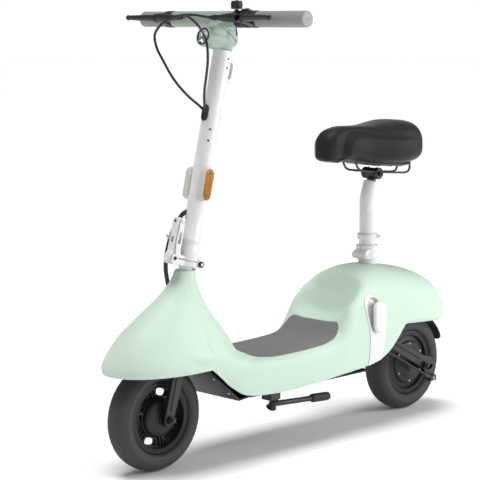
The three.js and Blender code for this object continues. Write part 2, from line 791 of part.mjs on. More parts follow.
// White bands down both flanks of the hump, each with a stadium-shaped latch lever hinged at its top.
const bandArch = [-197, 331];
const bandArchRadius = 26;
const bandThickness = 2;
const leverCentreX = -218;
const leverWidth = 44;
const leverLength = 84;
const leverTopZ = 340;
const leverThickness = 13;
const bandFaceY = bodyHalfWidth + gap + bandThickness;
const bandOutline = [
  [-251, bodyBottomZ],
  [-199, bodyBottomZ],
  [-198, 176],
  [-189, 263],
  [-178, 305],
  ...[10, 35, 60, 85, 105].map((degrees) => {
    const angle = THREE.MathUtils.degToRad(degrees);
    return [bandArch[0] + bandArchRadius * Math.cos(angle), bandArch[1] + bandArchRadius * Math.sin(angle)];
  }),
  [-224, 345],
  [-243, 322],
  [-250, 300],
];
for (const [side, name] of [[1, "left"], [-1, "right"]]) {
  const inner = side * bodyHalfWidth * 0.7;
  const outer = side * bodyHalfWidth * 1.2;
  const cutter = sidePlate(bandOutline, Math.min(inner, outer), Math.max(inner, outer));
  addTo(scooter, `${name}_side_band`, layerOnBody(cutter, bandThickness), whitePaint);
  const near = side * (bandFaceY + gap);
  const far = side * (bandFaceY + leverThickness);
  const lever = sidePlate(
    slotShape(leverCentreX, leverTopZ - leverLength / 2, leverWidth, leverLength),
    Math.min(near, far),
    Math.max(near, far),
  );
  addTo(scooter, `${name}_latch_lever`, lever, whitePaint);
}

// The seat: clamp on the seat tube, bent post, saddle on two rails.
const seatPostRadius = 21.5;
const clampBottomZ = 427;
const clampTopZ = 467;
const clampRadius = 27.5;
const clampBore = seatPostRadius + gap + 0.1;
{
  const collar = cut(
    joined(
      rodAlongZ(seatTubeX, 0, clampBottomZ, clampTopZ, clampRadius, 16),
      rodAlongY(seatTubeX + 29, 441, -22, 26, 8.5, 10),
      rodAlongZ(seatTubeX, 0, clampTopZ - 10, clampTopZ, clampRadius + 2, 16),
    ),
    rodAlongZ(seatTubeX, 0, clampBottomZ - gap, seatTubeTopZ + gap, seatTubeRadius + gap, 18),
    rodAlongZ(seatTubeX, 0, clampBottomZ - gap, clampTopZ + gap, clampBore, 18),
    block(seatTubeX, seatTubeX + 60, 0, 3, clampBottomZ - gap, clampTopZ + gap),
  );
  addTo(scooter, "seat_clamp", collar, whitePaint);
}

const postBottomZ = 285;
const headPivotX = -326;
const headPivotZ = 656;
const stubRadius = 11;
{
  const post = pipe(
    [
      [seatTubeX, 0, postBottomZ],
      [seatTubeX, 0, 574],
      [seatTubeX - 1, 0, 590],
      [seatTubeX - 5, 0, 606],
      [seatTubeX - 10, 0, 620],
      [seatTubeX - 16, 0, 634],
    ],
    seatPostRadius,
    20,
  );
  const ring = rodAlongZ(seatTubeX, 0, 481, 497, seatPostRadius + 5.5, 18);
  const bore = rodAlongZ(seatTubeX, 0, postBottomZ - gap, 556, seatPostRadius - 3, 18);
  addTo(scooter, "seat_post", cut(joined(post, ring), bore), whitePaint);
}
{
  const stub = rod(point(-320, 0, 631), point(-328, 0, headPivotZ), stubRadius, 12);
  const bodyCut = rod(point(-310, 0, 600), point(-326.3, 0, 634.6), seatPostRadius + gap, 18);
  const core = joined(cut(stub, bodyCut), rodAlongY(headPivotX, headPivotZ, -12, 12, 14, 18));
  const bolt = rodAlongY(headPivotX, headPivotZ, -34, 34, 4, 12);
  addTo(scooter, "saddle_clamp", joined(core, bolt), blackMetal);
}
const railHalfSpan = 22;
const railRadius = 3.5;
{
  const discs = [-1, 1].map((side) => {
    const inner = side * (12 + gap);
    const outer = side * 27;
    return rodAlongY(headPivotX, headPivotZ, Math.min(inner, outer), Math.max(inner, outer), 15, 12);
  });
  const rail = (y) =>
    pipe(
      [
        [-207, y, 681],
        [-213, y, 674],
        [-226, y, 669],
        [-260, y, 666],
        [headPivotX, y, 660],
        [-400, y, 654],
        [-436, y, 652],
        [-450, y, 657],
        [-459, y, 668],
        [-462, y, 681],
      ],
      railRadius,
      6,
    );
  const frontBar = rodAlongY(-209, 680.9, -railHalfSpan, railHalfSpan, railRadius, 6);
  const rearBar = rodAlongY(-461, 680.9, -railHalfSpan, railHalfSpan, railRadius, 6);
  const cradle = cut(
    joined(...discs, rail(-railHalfSpan), rail(railHalfSpan), frontBar, rearBar),
    rodAlongY(headPivotX, headPivotZ, -40, 40, 4 + gap, 12),
  );
  addTo(scooter, "saddle_rails", cradle, blackMetal);
}

// Saddle stations from the nose back: place, half width, top, bottom.
const saddleStations = [
  [-106, 24, 742, 706],
  [-118, 40, 762, 697],
  [-145, 50, 779, 692],
  [-190, 56, 786, 690],
  [-240, 66, 785, 690],
  [-290, 82, 786, 690],
  [-340, 97, 791, 690],
  [-390, 104, 796, 690],
  [-428, 101, 794, 690],
  [-452, 86, 786, 693],
  [-468, 52, 766, 702],
];
const saddleBaseBottomZ = 684.8;
{
  const sides = 28;
  const ring = ([x, half, top, bottom], inset) => {
    const middle = bottom + (top - bottom) * 0.45;
    return Array.from({ length: sides }, (_, i) => {
      const angle = (Math.PI * 2 * i) / sides;
      const up = Math.sin(angle);
      const across = Math.cos(angle);
      const power = 2 / 2.6;
      const reach = up > 0 ? top - middle : middle - bottom;
      return point(
        x,
        (half - inset) * Math.sign(across) * Math.abs(across) ** power,
        middle + (reach - inset) * Math.sign(up) * Math.abs(up) ** power,
      );
    });
  };
  const pad = loft(saddleStations.map((row) => ring(row, 0)));
  const channel = rod(point(-200, 0, 812), point(-500, 0, 806), 24, 18);
  addTo(scooter, "saddle_pad", cut(pad, channel), saddleSkin);
  const plan = saddleStations.slice(1, -1).map(([x, half]) => [x, half - 14]);
  const outline = [...plan, ...plan.map(([x, y]) => [x, -y]).reverse()];
  addTo(scooter, "saddle_base", planPlate(outline, saddleBaseBottomZ, 690 - gap), blackPlastic);
}

// The kickstand folds back under the left side, about a hinge tilted outwards.
const standPivot = point(138, 84, 121);
const standAxis = new THREE.Vector3(0, 0.454, 0.891).normalize();
const standReach = 208;
const standBossRadius = 10;
const standBossHalf = 8;
{
  const along = (from, to, radius, sides = 12) =>
    rod(
      standPivot.clone().addScaledVector(standAxis, from),
      standPivot.clone().addScaledVector(standAxis, to),
      radius,
      sides,
    );
  const pin = along(-standBossHalf - 7, standBossHalf + 7, 4, 12);
  const ears = [-1, 1].map((side) => {
    const inner = side * (standBossHalf + gap);
    const outer = side * (standBossHalf + 5);
    return along(Math.min(inner, outer), Math.max(inner, outer), standBossRadius + 3);
  });
  const shoe = block(standPivot.x - 16, standPivot.x + 22, 64, 99, 133, panBottomZ - gap);
  const room = along(-standBossHalf - gap, standBossHalf + gap, standBossRadius + 4, 12);
  const swing = block(standPivot.x - 60, standPivot.x + 60, 0, 200, 0, panBottomZ - gap);
  addTo(scooter, "kickstand_bracket", joined(cut(joined(shoe, ...ears), room), pin).intersect(swing), blackMetal);

  const leg = new THREE.Group();
  const downOut = new THREE.Vector3().crossVectors(standAxis, point(1, 0, 0));
  leg.applyMatrix4(new THREE.Matrix4().makeBasis(point(1, 0, 0), downOut, standAxis).setPosition(standPivot));
  scooter.add(leg);
  const droop = THREE.MathUtils.degToRad(4);
  const end = (distance) => point(-distance * Math.cos(droop), distance * Math.sin(droop), 0);
  const foot = joined(
    rod(end(standReach - 62), end(standReach), 11, 12),
    rod(end(standReach), end(standReach + 0.1), 11, 12),
  );
  const arm = rod(end(0), end(standReach - 40), 7, 14);
  const boss = rodAlongZ(0, 0, -standBossHalf, standBossHalf, standBossRadius, 18);
  const solid = cut(joined(arm, boss, foot), rodAlongZ(0, 0, -20, 20, 4 + gap, 12));
  addTo(leg, "kickstand_leg", solid.intersect(joined(rodAlongZ(0, 0, -standBossHalf, standBossHalf, 60, 18), block(-400, -20, -60, 60, -20, 18))), blackMetal);
}

// The folding foot of the stem: a base clamped on the steerer, a hinge pin behind it and the foot that swings on it.
const hingeU = -27;
const hingeS = 500;
const knuckleRadius = 10;
const knuckleRoom = knuckleRadius + 0.6;
const knuckleHalf = 13.7;
const knuckleOuter = 24;
const hingePinRadius = 5;
const baseTopS = 503.7;
const baseBottomS = 490;
const footBottomS = baseTopS + 2 * gap;
const footRadius = 26;
const footTopS = 548;
const stemRadius = 22.5;
const stemBore = 19.5;
const stemBottomS = 517.3;
const stemTopS = 1013;
const catchU = 56;
const catchS = 505;
const harnessRadius = 4;
const harnessRoute = [
  [16, -9, 622],
  [25, -14, 612],
  [33, -21, 590],
  [39, -27, 560],
  [41, -29, 530],
  [41, -29, 500],
  [37, -27, 472],
  [31, -23, 450],
  [23, -20, 428],
];
const harness = sweep(harnessRoute, harnessRadius, 8, 14);
const harnessRoom = sweep(harnessRoute, harnessRadius + gap, 8, 14);
addTo(scooter, "front_shroud", cut(shells.front, alongSteering(harnessRoom)), mintPlastic);
const hingeBore = rodAlongY(hingeU, hingeS, -2 * knuckleOuter, 2 * knuckleOuter, hingePinRadius + gap, 12);
{
  const collar = rodAlongZ(0, 0, headTopS + gap, baseBottomS + gap, 17.5, 18);
  const disc = rodAlongZ(0, 0, baseBottomS, baseTopS, footRadius, 18);
  const nose = block(0, 48, -20, 20, baseBottomS, baseTopS);
  const ears = [-1, 1].map((side) =>
    sidePlate(
      [[10, baseBottomS], [60, baseBottomS], [66, 498], [65, 511], [54, 514], [46, 508], [40, baseTopS], [10, baseTopS]],
      Math.min(side * 12, side * 20),
      Math.max(side * 12, side * 20),
    ),
  );
  const knuckles = rodAlongY(hingeU, hingeS, -knuckleOuter, knuckleOuter, knuckleRadius, 12);
  const bridge = block(hingeU, 0, -knuckleOuter, knuckleOuter, baseBottomS, hingeS);
  const slot = rodAlongY(hingeU, hingeS, -knuckleHalf - gap, knuckleHalf + gap, knuckleRoom, 12);
  const slotBack = block(hingeU - 20, hingeU, -knuckleHalf - gap, knuckleHalf + gap, 480, 520);
  const catchPin = rodAlongY(catchU, catchS, -20, 20, 5, 12);
  const body = cut(
    joined(collar, disc, nose, ...ears, knuckles, bridge),
    slot,
    slotBack,
    hingeBore,
    rodAlongZ(0, 0, 470, steererTopS + gap, steererRadius + gap, 18),
    block(46, 80, -12, 12, 480, 520),
  );
  addTo(steering, "hinge_base", joined(body, catchPin), whitePaint);
  const heads = [-1, 1].map((side) =>
    rodAlongY(hingeU, hingeS, Math.min(side * 24.5, side * 31), Math.max(side * 24.5, side * 31), 7.5, 12),
  );
  addTo(steering, "hinge_pin", joined(rodAlongY(hingeU, hingeS, -30, 30, hingePinRadius, 12), ...heads), blackMetal);
}

const latchPivotU = 45;
const latchPivotS = 591;
{
  const collar = rodAlongZ(0, 0, footBottomS, footTopS, footRadius, 18);
  const knuckle = rodAlongY(hingeU, hingeS, -knuckleHalf, knuckleHalf, knuckleRadius, 12);
  const web = block(hingeU, 0, -knuckleHalf, knuckleHalf, footBottomS, 512);
  const cheeks = [-1, 1].map((side) =>
    sidePlate(
      [[20, 516], [55, 516], [59, 545], [56, 588], [52, 599], [44, 602], [36, 597], [29, 562], [24, 548], [20, 546]],
      Math.min(side * 8, side * 11),
      Math.max(side * 8, side * 11),
    ),
  );
  const pin = rodAlongY(latchPivotU, latchPivotS, -12.5, 12.5, 4, 12);
  const sideRoom = [-1, 1].map((side) =>
    rodAlongY(hingeU, hingeS, Math.min(side * (knuckleHalf + 0.1), side * 40), Math.max(side * (knuckleHalf + 0.1), side * 40), knuckleRoom, 12),
  );
  const socket = rodAlongZ(0, 0, stemBottomS - gap, footTopS + gap, stemRadius + gap, 18);
  const body = cut(joined(collar, knuckle, web), ...sideRoom, hingeBore, socket);
  addTo(steering, "stem_foot", cut(joined(body, cut(joined(...cheeks, pin), socket)), harnessRoom), whitePaint);
}
{
  const outline = [
    [39, 600],
    [50, 601],
    [54, 592],
    [55, 560],
    [57, 515],
    [67, 512],
    [67, 493],
    [61.4, 494],
    [61.4, 510.6],
    [45, 510.6],
    [46, 550],
    [38, 588],
  ];
  const knob = rodAlongY(59.5, 552, -5, 5, 6, 12);
  const lever = cut(
    joined(sidePlate(outline, -7.5, 7.5), knob),
    rodAlongY(latchPivotU, latchPivotS, -10, 10, 4 + gap, 12),
  );
  addTo(steering, "fold_latch", lever, blackMetal);
}

// The stem tube, with a slot for the cable grommet and a hole for the harness.
const grommetS = 858;
const grommetWidth = 16;
const grommetLength = 36;
function frontSlot(width, length, u0, u1) {
  const solid = sidePlate(slotShape(0, grommetS, width, length), u0, u1);
  return solid.rotate([0, 0, -90]);
}
{
  const tube = cut(
    rodAlongZ(0, 0, stemBottomS, stemTopS, stemRadius, 18),
    rodAlongZ(0, 0, stemBottomS - gap, stemTopS + gap, stemBore, 18),
    frontSlot(grommetWidth + 2 * gap, grommetLength + 2 * gap, 5, 40),
    harnessRoom,
  );
  addTo(steering, "stem_tube", tube, whitePaint);
}

// The head on top of the stem: it holds the handlebar, the headlight and the display.
const barU = 17.5;
const barS = 1085.5;
const barRadius = 11.1;
const barSleeve = 19.5;
const barHalf = 276;
const lightS = 1032;
const lightRadius = 20;
const lightFaceU = 71;
{
  const outline = [
    [-22.8, stemTopS + gap],
    [22.8, stemTopS + gap],
    [36, 1009],
    [60, 1010],
    [68, 1014],
    [70, 1034],
    [68, 1052],
    [58, 1060],
    [36, 1075],
    [30, 1090],
    [0, 1102],
    [-4, 1099],
    [-30, 1041],
    [-27, 1034],
    [-22.8, 1030],
  ];
  const core = sidePlate(outline, -24, 18);
  const spigot = rodAlongZ(0, 0, 973, stemTopS + 20, stemBore - gap, 18);
  const sleeve = rodAlongY(barU, barS, -167.7, 54, barSleeve, 18);
  const corners = [-1, 1].flatMap((side) => [
    cut(block(-80, -10, Math.min(side * 14, side * 60), Math.max(side * 14, side * 60), 1000, 1072), rodAlongZ(-8, 0, 990, 1080, 24, 16)),
    cut(block(10, 90, Math.min(side * 14, side * 60), Math.max(side * 14, side * 60), 1000, 1062), rod(point(0, 0, lightS), point(90, 0, lightS), 26, 18)),
  ]);
  const lightRoom = rod(point(58, 0, lightS), point(90, 0, lightS), lightRadius + gap, 18);
  const faceUp = new THREE.Vector3(-4 + 30, 0, 1099 - 1041).normalize();
  const faceOut = new THREE.Vector3(-faceUp.z, 0, faceUp.x);
  const onDisplayFace = (low, high, y0, y1, inner, outer) => {
    const corner = (along, out) => {
      const place = point(-17, 0, 1070).addScaledVector(faceUp, along).addScaledVector(faceOut, out);
      return [place.x, place.z];
    };
    return sidePlate([corner(low, inner), corner(high, inner), corner(high, outer), corner(low, outer)], y0, y1);
  };
  const head = cut(
    joined(cut(core, ...corners), sleeve, spigot),
    rodAlongY(barU, barS, -200, 200, barRadius + gap, 18),
    rodAlongZ(0, 0, 960, 1001, stemBore - 3.5, 18),
    lightRoom,
    onDisplayFace(-16.3, 16.3, -20.3, 20.3, -4.3, 18),
  );
  addTo(steering, "display", onDisplayFace(-16, 16, -20, 20, -4, 0), blackPlastic);
  addTo(steering, "bar_head", head, mintPlastic);
  const bezel = cut(
    rod(point(58 + gap, 0, lightS), point(lightFaceU, 0, lightS), lightRadius, 18),
    rod(point(60, 0, lightS), point(lightFaceU + 5, 0, lightS), 15.8, 18),
  );
  const lens = rod(point(60, 0, lightS), point(lightFaceU - 2, 0, lightS), lightRadius - 4, 18);
  addTo(steering, "headlight", joined(bezel, lens), clearPlastic);
  addTo(steering, "handlebar", rodAlongY(barU, barS, -barHalf, barHalf, barRadius, 18), blackMetal);
}
// The grips: a fixed one on the left, a shorter one on the right that twists as the throttle.
const gripEnd = 278;
const gripRadius = 19;
const gripBore = barRadius + gap;
{
  const grip = (inner, outer) => {
    const low = Math.min(inner, outer);
    const high = Math.max(inner, outer);
    const boreEnd = Math.sign(outer) * (barHalf + gap);
    return cut(
      rodAlongY(barU, barS, low, high, gripRadius, 18),
      rodAlongY(barU, barS, Math.min(inner - Math.sign(outer), boreEnd), Math.max(inner - Math.sign(outer), boreEnd), gripBore, 18),
    );
  };
  addTo(steering, "left_grip", grip(122.5, gripEnd), greyRubber);
  addTo(steering, "throttle_grip", grip(-192.5, -gripEnd), greyRubber);
}

// The brake lever perches: a band round the bar, an arm forward and a body that takes the cable.
const perchU = 68;
const perchS = 1077;
const leverPivotU = 62;
function perch(side, bandInner, bandOuter, shift) {
  const y = (value) => side * (value + shift);
  const span = (a, b) => [Math.min(y(a), y(b)), Math.max(y(a), y(b))];
  const band = rodAlongY(barU, barS, ...span(bandInner, bandOuter), 20.5, 18);
  const arm = block(barU + 12, 56, ...span(101, 121), perchS - 9, perchS + 9);
  const plates = [-1, 1].map((end) =>
    block(50, 72, ...span(99, 121), perchS + Math.min(end * 5, end * 9), perchS + Math.max(end * 5, end * 9)),
  );
  const body = rodAlongY(perchU, perchS, ...span(34, 101), 8, 12);
  const adjuster = rodAlongY(perchU + 2, perchS, ...span(12, 36), 5, 12);
  const pin = rodAlongZ(leverPivotU, y(112), perchS - 10.5, perchS + 10.5, 3, 12);
  const room = block(49, 80, ...span(101, 130), perchS - 5, perchS + 5);
  return cut(
    joined(cut(joined(band, arm, ...plates, body), room), adjuster, pin),
    rodAlongY(barU, barS, -300, 300, gripBore, 18),
  );
}
function brakeLever(side, shift, reach) {
  const y = (value) => side * (value + shift);
  const boss = rodAlongZ(leverPivotU, y(112), perchS - 4.6, perchS + 4.6, 8, 12);
  const blade = rod(point(leverPivotU + 1, y(112), perchS), point(77, y(reach), perchS - 2), 5, 8, 3.4);
  const web = block(leverPivotU - 6, leverPivotU + 8, Math.min(y(108), y(140)), Math.max(y(108), y(140)), perchS - 4, perchS + 4);
  const ball = new THREE.SphereGeometry(5, 8, 6);
  ball.translate(77, y(reach), perchS - 2);
  return cut(
    joined(boss, blade, web, solidOf(ball)),
    rodAlongZ(leverPivotU, y(112), perchS - 20, perchS + 20, 3 + gap, 12),
  );
}
addTo(steering, "left_lever_perch", perch(1, 98.3, 122, 0), blackMetal);
addTo(steering, "right_lever_perch", perch(-1, 98.3, 122, 70), blackMetal);
addTo(steering, "left_brake_lever", brakeLever(1, 0, 212), blackMetal);
addTo(steering, "right_brake_lever", brakeLever(-1, 70, 203), blackMetal);

// Left of the head: the switch pod with its button, and the bell that rings when its drum is turned.
const podInner = 62.6;
const podOuter = 97.7;
const buttonY = 85;
{
  const ring = rodAlongY(barU, barS, podInner, podOuter, 20.5, 18);
  const top = block(10, 34, 74, podOuter, barS, 1107.5);
  const pod = cut(
    joined(ring, top),
    rodAlongY(barU, barS, podInner - 1, podOuter + 1, gripBore, 18),
    rodAlongZ(22, buttonY, 1103, 1115, 6 + gap, 12),
  );
  addTo(steering, "switch_pod", pod, blackPlastic);
  addTo(steering, "mode_button", rodAlongZ(22, buttonY, 1105.2, 1110.5, 6, 12), greyRubber);
}
const bellX = 236;
const bellY = 57;
const bellRadius = 14;
{
  const band = alongSteering(rodAlongY(barU, barS, 54.3, podInner - gap, 20.5, 18));
  const foot = rodAlongZ(bellX, bellY + 1, 1068, 1083, 5.5, 12);
  const stud = rodAlongZ(bellX, bellY + 1, 1080, 1105, 2, 12);
  const bore = alongSteering(rodAlongY(barU, barS, 40, 80, gripBore, 18));
  const podRoom = alongSteering(rodAlongY(barU, barS, podInner - gap, 90, 20.5 + gap, 18));
  const sleeveRoom = alongSteering(rodAlongY(barU, barS, 40, 54 + gap, barSleeve + gap, 18));
  addTo(scooter, "bell_base", joined(cut(joined(band, foot), bore, podRoom, sleeveRoom), stud), blackPlastic);
  const drum = cut(
    rodAlongZ(bellX, bellY + 1, 1083.3, 1103, bellRadius, 32),
    rodAlongZ(bellX, bellY + 1, 1082, 1110, 2 + gap, 12),
  );
  addTo(scooter, "bell_ring", drum, blackMetal);
}

// On the stem: the bag hook behind, the cable grommet in front and the two side reflectors.
{
  const outline = [[-20, 1001], [-35, 1001], [-40, 996], [-42, 985], [-41, 950], [-35, 939], [-20, 941]];
  const opening = [[-25, 990], [-33, 992], [-35, 984], [-34, 956], [-30, 950], [-25, 954]];
  const tubeRoom = rodAlongZ(0, 0, 930, 1010, stemRadius + gap, 18);
  addTo(steering, "bag_hook", cut(sidePlate(outline, -5, 5), sidePlate(opening, -6, 6), tubeRoom), whitePaint);
}
for (const [side, name] of [[1, "left"], [-1, "right"]]) {
  const near = side * 12;
  const far = side * 35;
  const pill = sidePlate(slotShape(5, 689, 32, 80), Math.min(near, far), Math.max(near, far));
  const tubeRoom = rodAlongZ(0, 0, 600, 780, stemRadius + gap, 18);
  addTo(steering, `${name}_reflector`, cut(pill, tubeRoom), amberPlastic);
}

// Brake cables from the levers to the grommet, in free loops ahead of the bar.
const cableRadius = 2.6;
const leftCableRoute = [
  [70, 11, 1077],
  [73, -8, 1079],
  [79, -30, 1080.8],
  [85.6, -64.8, 1079.2],
  [91.7, -93.9, 1070.2],
  [96.1, -123.3, 1054.5],
  [96.5, -139.5, 1034.7],
  [95.5, -141, 1021.7],
  [89.5, -133, 996.9],
  [80.9, -113.9, 969.7],
  [65.7, -81.7, 927.8],
  [49.2, -43.4, 893.4],
  [31, -8, 869],
  [22, -4, 861],
];
const rightCableRoute = [
  [70, -83 + 1.9, 1077],
  [73, -66, 1078.6],
  [87.7, -26.8, 1066.5],
  [97.6, 11, 1047.9],
  [100.5, 37.4, 1025.4],
  [98.3, 49.6, 1003.5],
  [90.4, 51.8, 970.5],
  [77.4, 41.7, 937.9],
  [58.8, 24.2, 903.2],
  [33, 6, 872],
  [22, 3, 860],
];
const cableSteps = 26;
{
  const rooms = [leftCableRoute, rightCableRoute].map((route) => sweep(route, cableRadius + gap, 6, cableSteps));
  const cables = [leftCableRoute, rightCableRoute].map((route) => sweep(route, cableRadius, 6, cableSteps));
  addTo(steering, "left_brake_cable", cables[0], blackPlastic);
  addTo(steering, "right_brake_cable", cables[1], blackPlastic);
  const plug = cut(frontSlot(grommetWidth, grommetLength, 12, 25), rodAlongZ(0, 0, 800, 900, stemBore - 2, 18));
  const lip = cut(
    frontSlot(grommetWidth + 4, grommetLength + 4, 10, 25),
    rodAlongZ(0, 0, 800, 900, stemRadius + gap, 18),
  );
  addTo(steering, "cable_grommet", cut(joined(plug, lip), ...rooms), blackPlastic);
  addTo(steering, "main_harness", harness, blackPlastic);
}

export default scooter;
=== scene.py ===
"""A seated electric scooter in mint and white: its finished looks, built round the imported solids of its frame.

Meshes are drawn in millimetres in the vehicle's own frame: +X forward, +Y to the rider's left, +Z up.
"""

import json
import math

import bmesh
import bpy
import numpy as np
from mathutils import Matrix, Vector


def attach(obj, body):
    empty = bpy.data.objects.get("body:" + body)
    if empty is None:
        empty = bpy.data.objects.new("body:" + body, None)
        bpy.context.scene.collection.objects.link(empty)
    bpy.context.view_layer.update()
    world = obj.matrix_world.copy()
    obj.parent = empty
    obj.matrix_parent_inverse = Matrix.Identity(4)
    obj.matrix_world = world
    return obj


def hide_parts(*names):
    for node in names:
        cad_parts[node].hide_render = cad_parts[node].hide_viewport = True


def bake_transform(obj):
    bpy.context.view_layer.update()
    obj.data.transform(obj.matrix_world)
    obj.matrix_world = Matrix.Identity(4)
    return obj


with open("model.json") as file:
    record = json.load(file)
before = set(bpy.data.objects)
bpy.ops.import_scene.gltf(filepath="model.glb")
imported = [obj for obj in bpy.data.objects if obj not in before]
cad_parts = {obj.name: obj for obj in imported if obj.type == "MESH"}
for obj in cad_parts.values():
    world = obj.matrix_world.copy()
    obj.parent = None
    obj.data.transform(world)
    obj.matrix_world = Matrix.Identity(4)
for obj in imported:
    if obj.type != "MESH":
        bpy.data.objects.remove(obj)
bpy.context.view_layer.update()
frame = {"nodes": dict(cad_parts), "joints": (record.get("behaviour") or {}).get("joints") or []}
nodes = frame["nodes"]

# The studio: a long lens ahead of the scooter on its left side, a pale floor, and large soft lights. The
# brighter light stands on the rider's left, so the flank is bright and the nose falls off towards the far
# side.
MM = 0.001
ORIGIN, ACROSS, UP = (0, 0, 0), (0, 1, 0), (0, 0, 1)
camera_place = Vector((2985.4, 2839.5, 1056.6)) * MM
camera_heading = math.radians(225.22)
camera_tilt = math.radians(-7.6)
camera = bpy.data.objects.new("studio_camera", bpy.data.cameras.new("studio_camera"))
camera.data.lens = 123.4
camera.location = camera_place
camera_aim = Vector(
    (
        math.cos(camera_tilt) * math.cos(camera_heading),
        math.cos(camera_tilt) * math.sin(camera_heading),
        math.sin(camera_tilt),
    )
)
camera.rotation_euler = camera_aim.to_track_quat("-Z", "Y").to_euler()
bpy.context.scene.collection.objects.link(camera)
bpy.context.scene.camera = camera
bpy.context.scene.view_settings.view_transform = "Standard"


def soft_light(name, place, aim, size, power):
    """A square studio light that looks at a point."""
    data = bpy.data.lights.new(name, "AREA")
    data.size = size
    data.energy = power
    lamp = bpy.data.objects.new(name, data)
    lamp.location = Vector(place)
    lamp.rotation_euler = (Vector(aim) - Vector(place)).to_track_quat("-Z", "Y").to_euler()
    bpy.context.scene.collection.objects.link(lamp)


soft_light("key_light", (-2.2, 3.0, 1.7), (0, 0, 0.5), 2.4, 100)
sun = bpy.data.lights.new("high_light", "SUN")
sun.energy = 2.6
sun.angle = math.radians(30)
high_light = bpy.data.objects.new("high_light", sun)
high_light.rotation_euler = Vector((-0.14, 0.06, -1.0)).to_track_quat("-Z", "Y").to_euler()
bpy.context.scene.collection.objects.link(high_light)


class Socket:
    """An output of a node. Sums and products with numbers or other sockets add Math nodes to its tree."""

    def __init__(self, tree, output):
        self.tree = tree
        self.output = output

    def node(self, kind, settings, values, result=0):
        """Adds a node: first its settings, then the values or links of its sockets."""
        made = self.tree.nodes.new(kind)
        for name, value in settings.items():
            setattr(made, name, value)
        for name, value in values.items():
            if isinstance(value, Socket):
                self.tree.links.new(value.output, made.inputs[name])
            else:
                made.inputs[name].default_value = value
        return Socket(self.tree, made.outputs[result])

    def math(self, operation, first, second=0.0):
        return self.node("ShaderNodeMath", {"operation": operation}, {0: first, 1: second})

    def __add__(self, other):
        return self.math("ADD", self, other)

    def __sub__(self, other):
        return self.math("SUBTRACT", self, other)

    def __rsub__(self, other):
        return self.math("SUBTRACT", other, self)

    def __mul__(self, other):
        return self.math("MULTIPLY", self, other)

    __radd__ = __add__
    __rmul__ = __mul__

    def ripple(self, pace):
        """A sine of the value; its pace is in radians for each unit."""
        return self.math("SINE", self * pace)

    def between(self, low, high):
        """0 below low, 1 above high, and a smooth step from one to the other."""
        return self.node(
            "ShaderNodeMapRange",
            {"interpolation_type": "SMOOTHSTEP"},
            {"Value": self, "From Min": low, "From Max": high},
        )


world = bpy.data.worlds.new("pale_studio")
world.use_nodes = True
bpy.context.scene.world = world
walls = Socket(world.node_tree, world.node_tree.nodes.new("ShaderNodeTexCoord").outputs["Generated"])
height = walls.node("ShaderNodeSeparateXYZ", {}, {0: walls}, 2)
strength = 1.02 - height.between(0.05, 0.24) * 0.74
world.node_tree.links.new(strength.output, world.node_tree.nodes["Background"].inputs["Strength"])
world.node_tree.nodes["Background"].inputs["Color"].default_value = (1.0, 1.0, 1.0, 1.0)


def tint(code):
    """A colour from its sRGB code, in the shader's linear units."""
    shares = [int(code[i : i + 2], 16) / 255 for i in (0, 2, 4)]
    return tuple(s / 12.92 if s <= 0.04045 else ((s + 0.055) / 1.055) ** 2.4 for s in shares) + (1.0,)


class Finish:
    """A surface: its plain colour and gloss, the record's slot it belongs to, and the grain put on it."""

    def __init__(self, name, slot, code, roughness, **plain):
        self.material = bpy.data.materials.new(name)
        self.material.use_nodes = True
        self.slot = slot
        self.colour = tint(code)
        self.roughness = roughness
        tree = self.material.node_tree
        self.shader = tree.nodes["Principled BSDF"]
        self.feed("Base Color", self.colour)
        self.feed("Roughness", roughness)
        for socket, value in plain.items():
            self.feed(socket.replace("_", " "), value)
        self.place = Socket(tree, tree.nodes.new("ShaderNodeTexCoord").outputs["Object"])

    def feed(self, socket, value):
        if isinstance(value, Socket):
            value.tree.links.new(value.output, self.shader.inputs[socket])
        else:
            self.shader.inputs[socket].default_value = value

    def noise(self, scale, detail=2.0, stretch=(1.0, 1.0, 1.0)):
        laid = self.place.node("ShaderNodeMapping", {}, {"Vector": self.place, "Scale": stretch})
        return laid.node("ShaderNodeTexNoise", {}, {"Vector": laid, "Scale": scale, "Detail": detail})

    def axes(self, place=None):
        """The three coordinates of the surface as sockets, in metres."""
        apart = self.place.node("ShaderNodeSeparateXYZ", {}, {0: place or self.place})
        return [Socket(apart.tree, apart.output.node.outputs[i]) for i in range(3)]

    def shade(self, mask, code):
        """Paints shade into the colour: tints it towards another where the mask is 1."""
        mixed = mask.node(
            "ShaderNodeMix", {"data_type": "RGBA"}, {0: mask, 6: self.colour, 7: tint(code)}, 2
        )
        self.feed("Base Color", mixed)

    def vary(self, mask, spread):
        """Makes the gloss uneven by a spread each way."""
        self.feed("Roughness", mask * (2 * spread) + (self.roughness - spread))

    def uneven(self, spread, *noise):
        self.vary(self.noise(*noise), spread)

    def grained(self, depth, *noise, strength=1.0):
        self.relief(self.noise(*noise), depth, strength)

    def relief(self, height, depth, strength=1.0):
        self.feed(
            "Normal",
            height.node("ShaderNodeBump", {}, {"Strength": strength, "Distance": depth, "Height": height}),
        )


floor_half = 30.0
floor_mesh = bpy.data.meshes.new("studio_floor")
floor_corners = [(x * floor_half, y * floor_half, 0) for x, y in ((-1, -1), (1, -1), (1, 1), (-1, 1))]
floor_mesh.from_pydata(floor_corners, [], [(0, 1, 2, 3)])
floor = bpy.data.objects.new("studio_floor", floor_mesh)
bpy.context.scene.collection.objects.link(floor)
floor_finish = Finish("pale_floor", None, "fbfbfb", 0.7)
floor_finish.uneven(0.05, 3.0)
floor_mesh.materials.append(floor_finish.material)

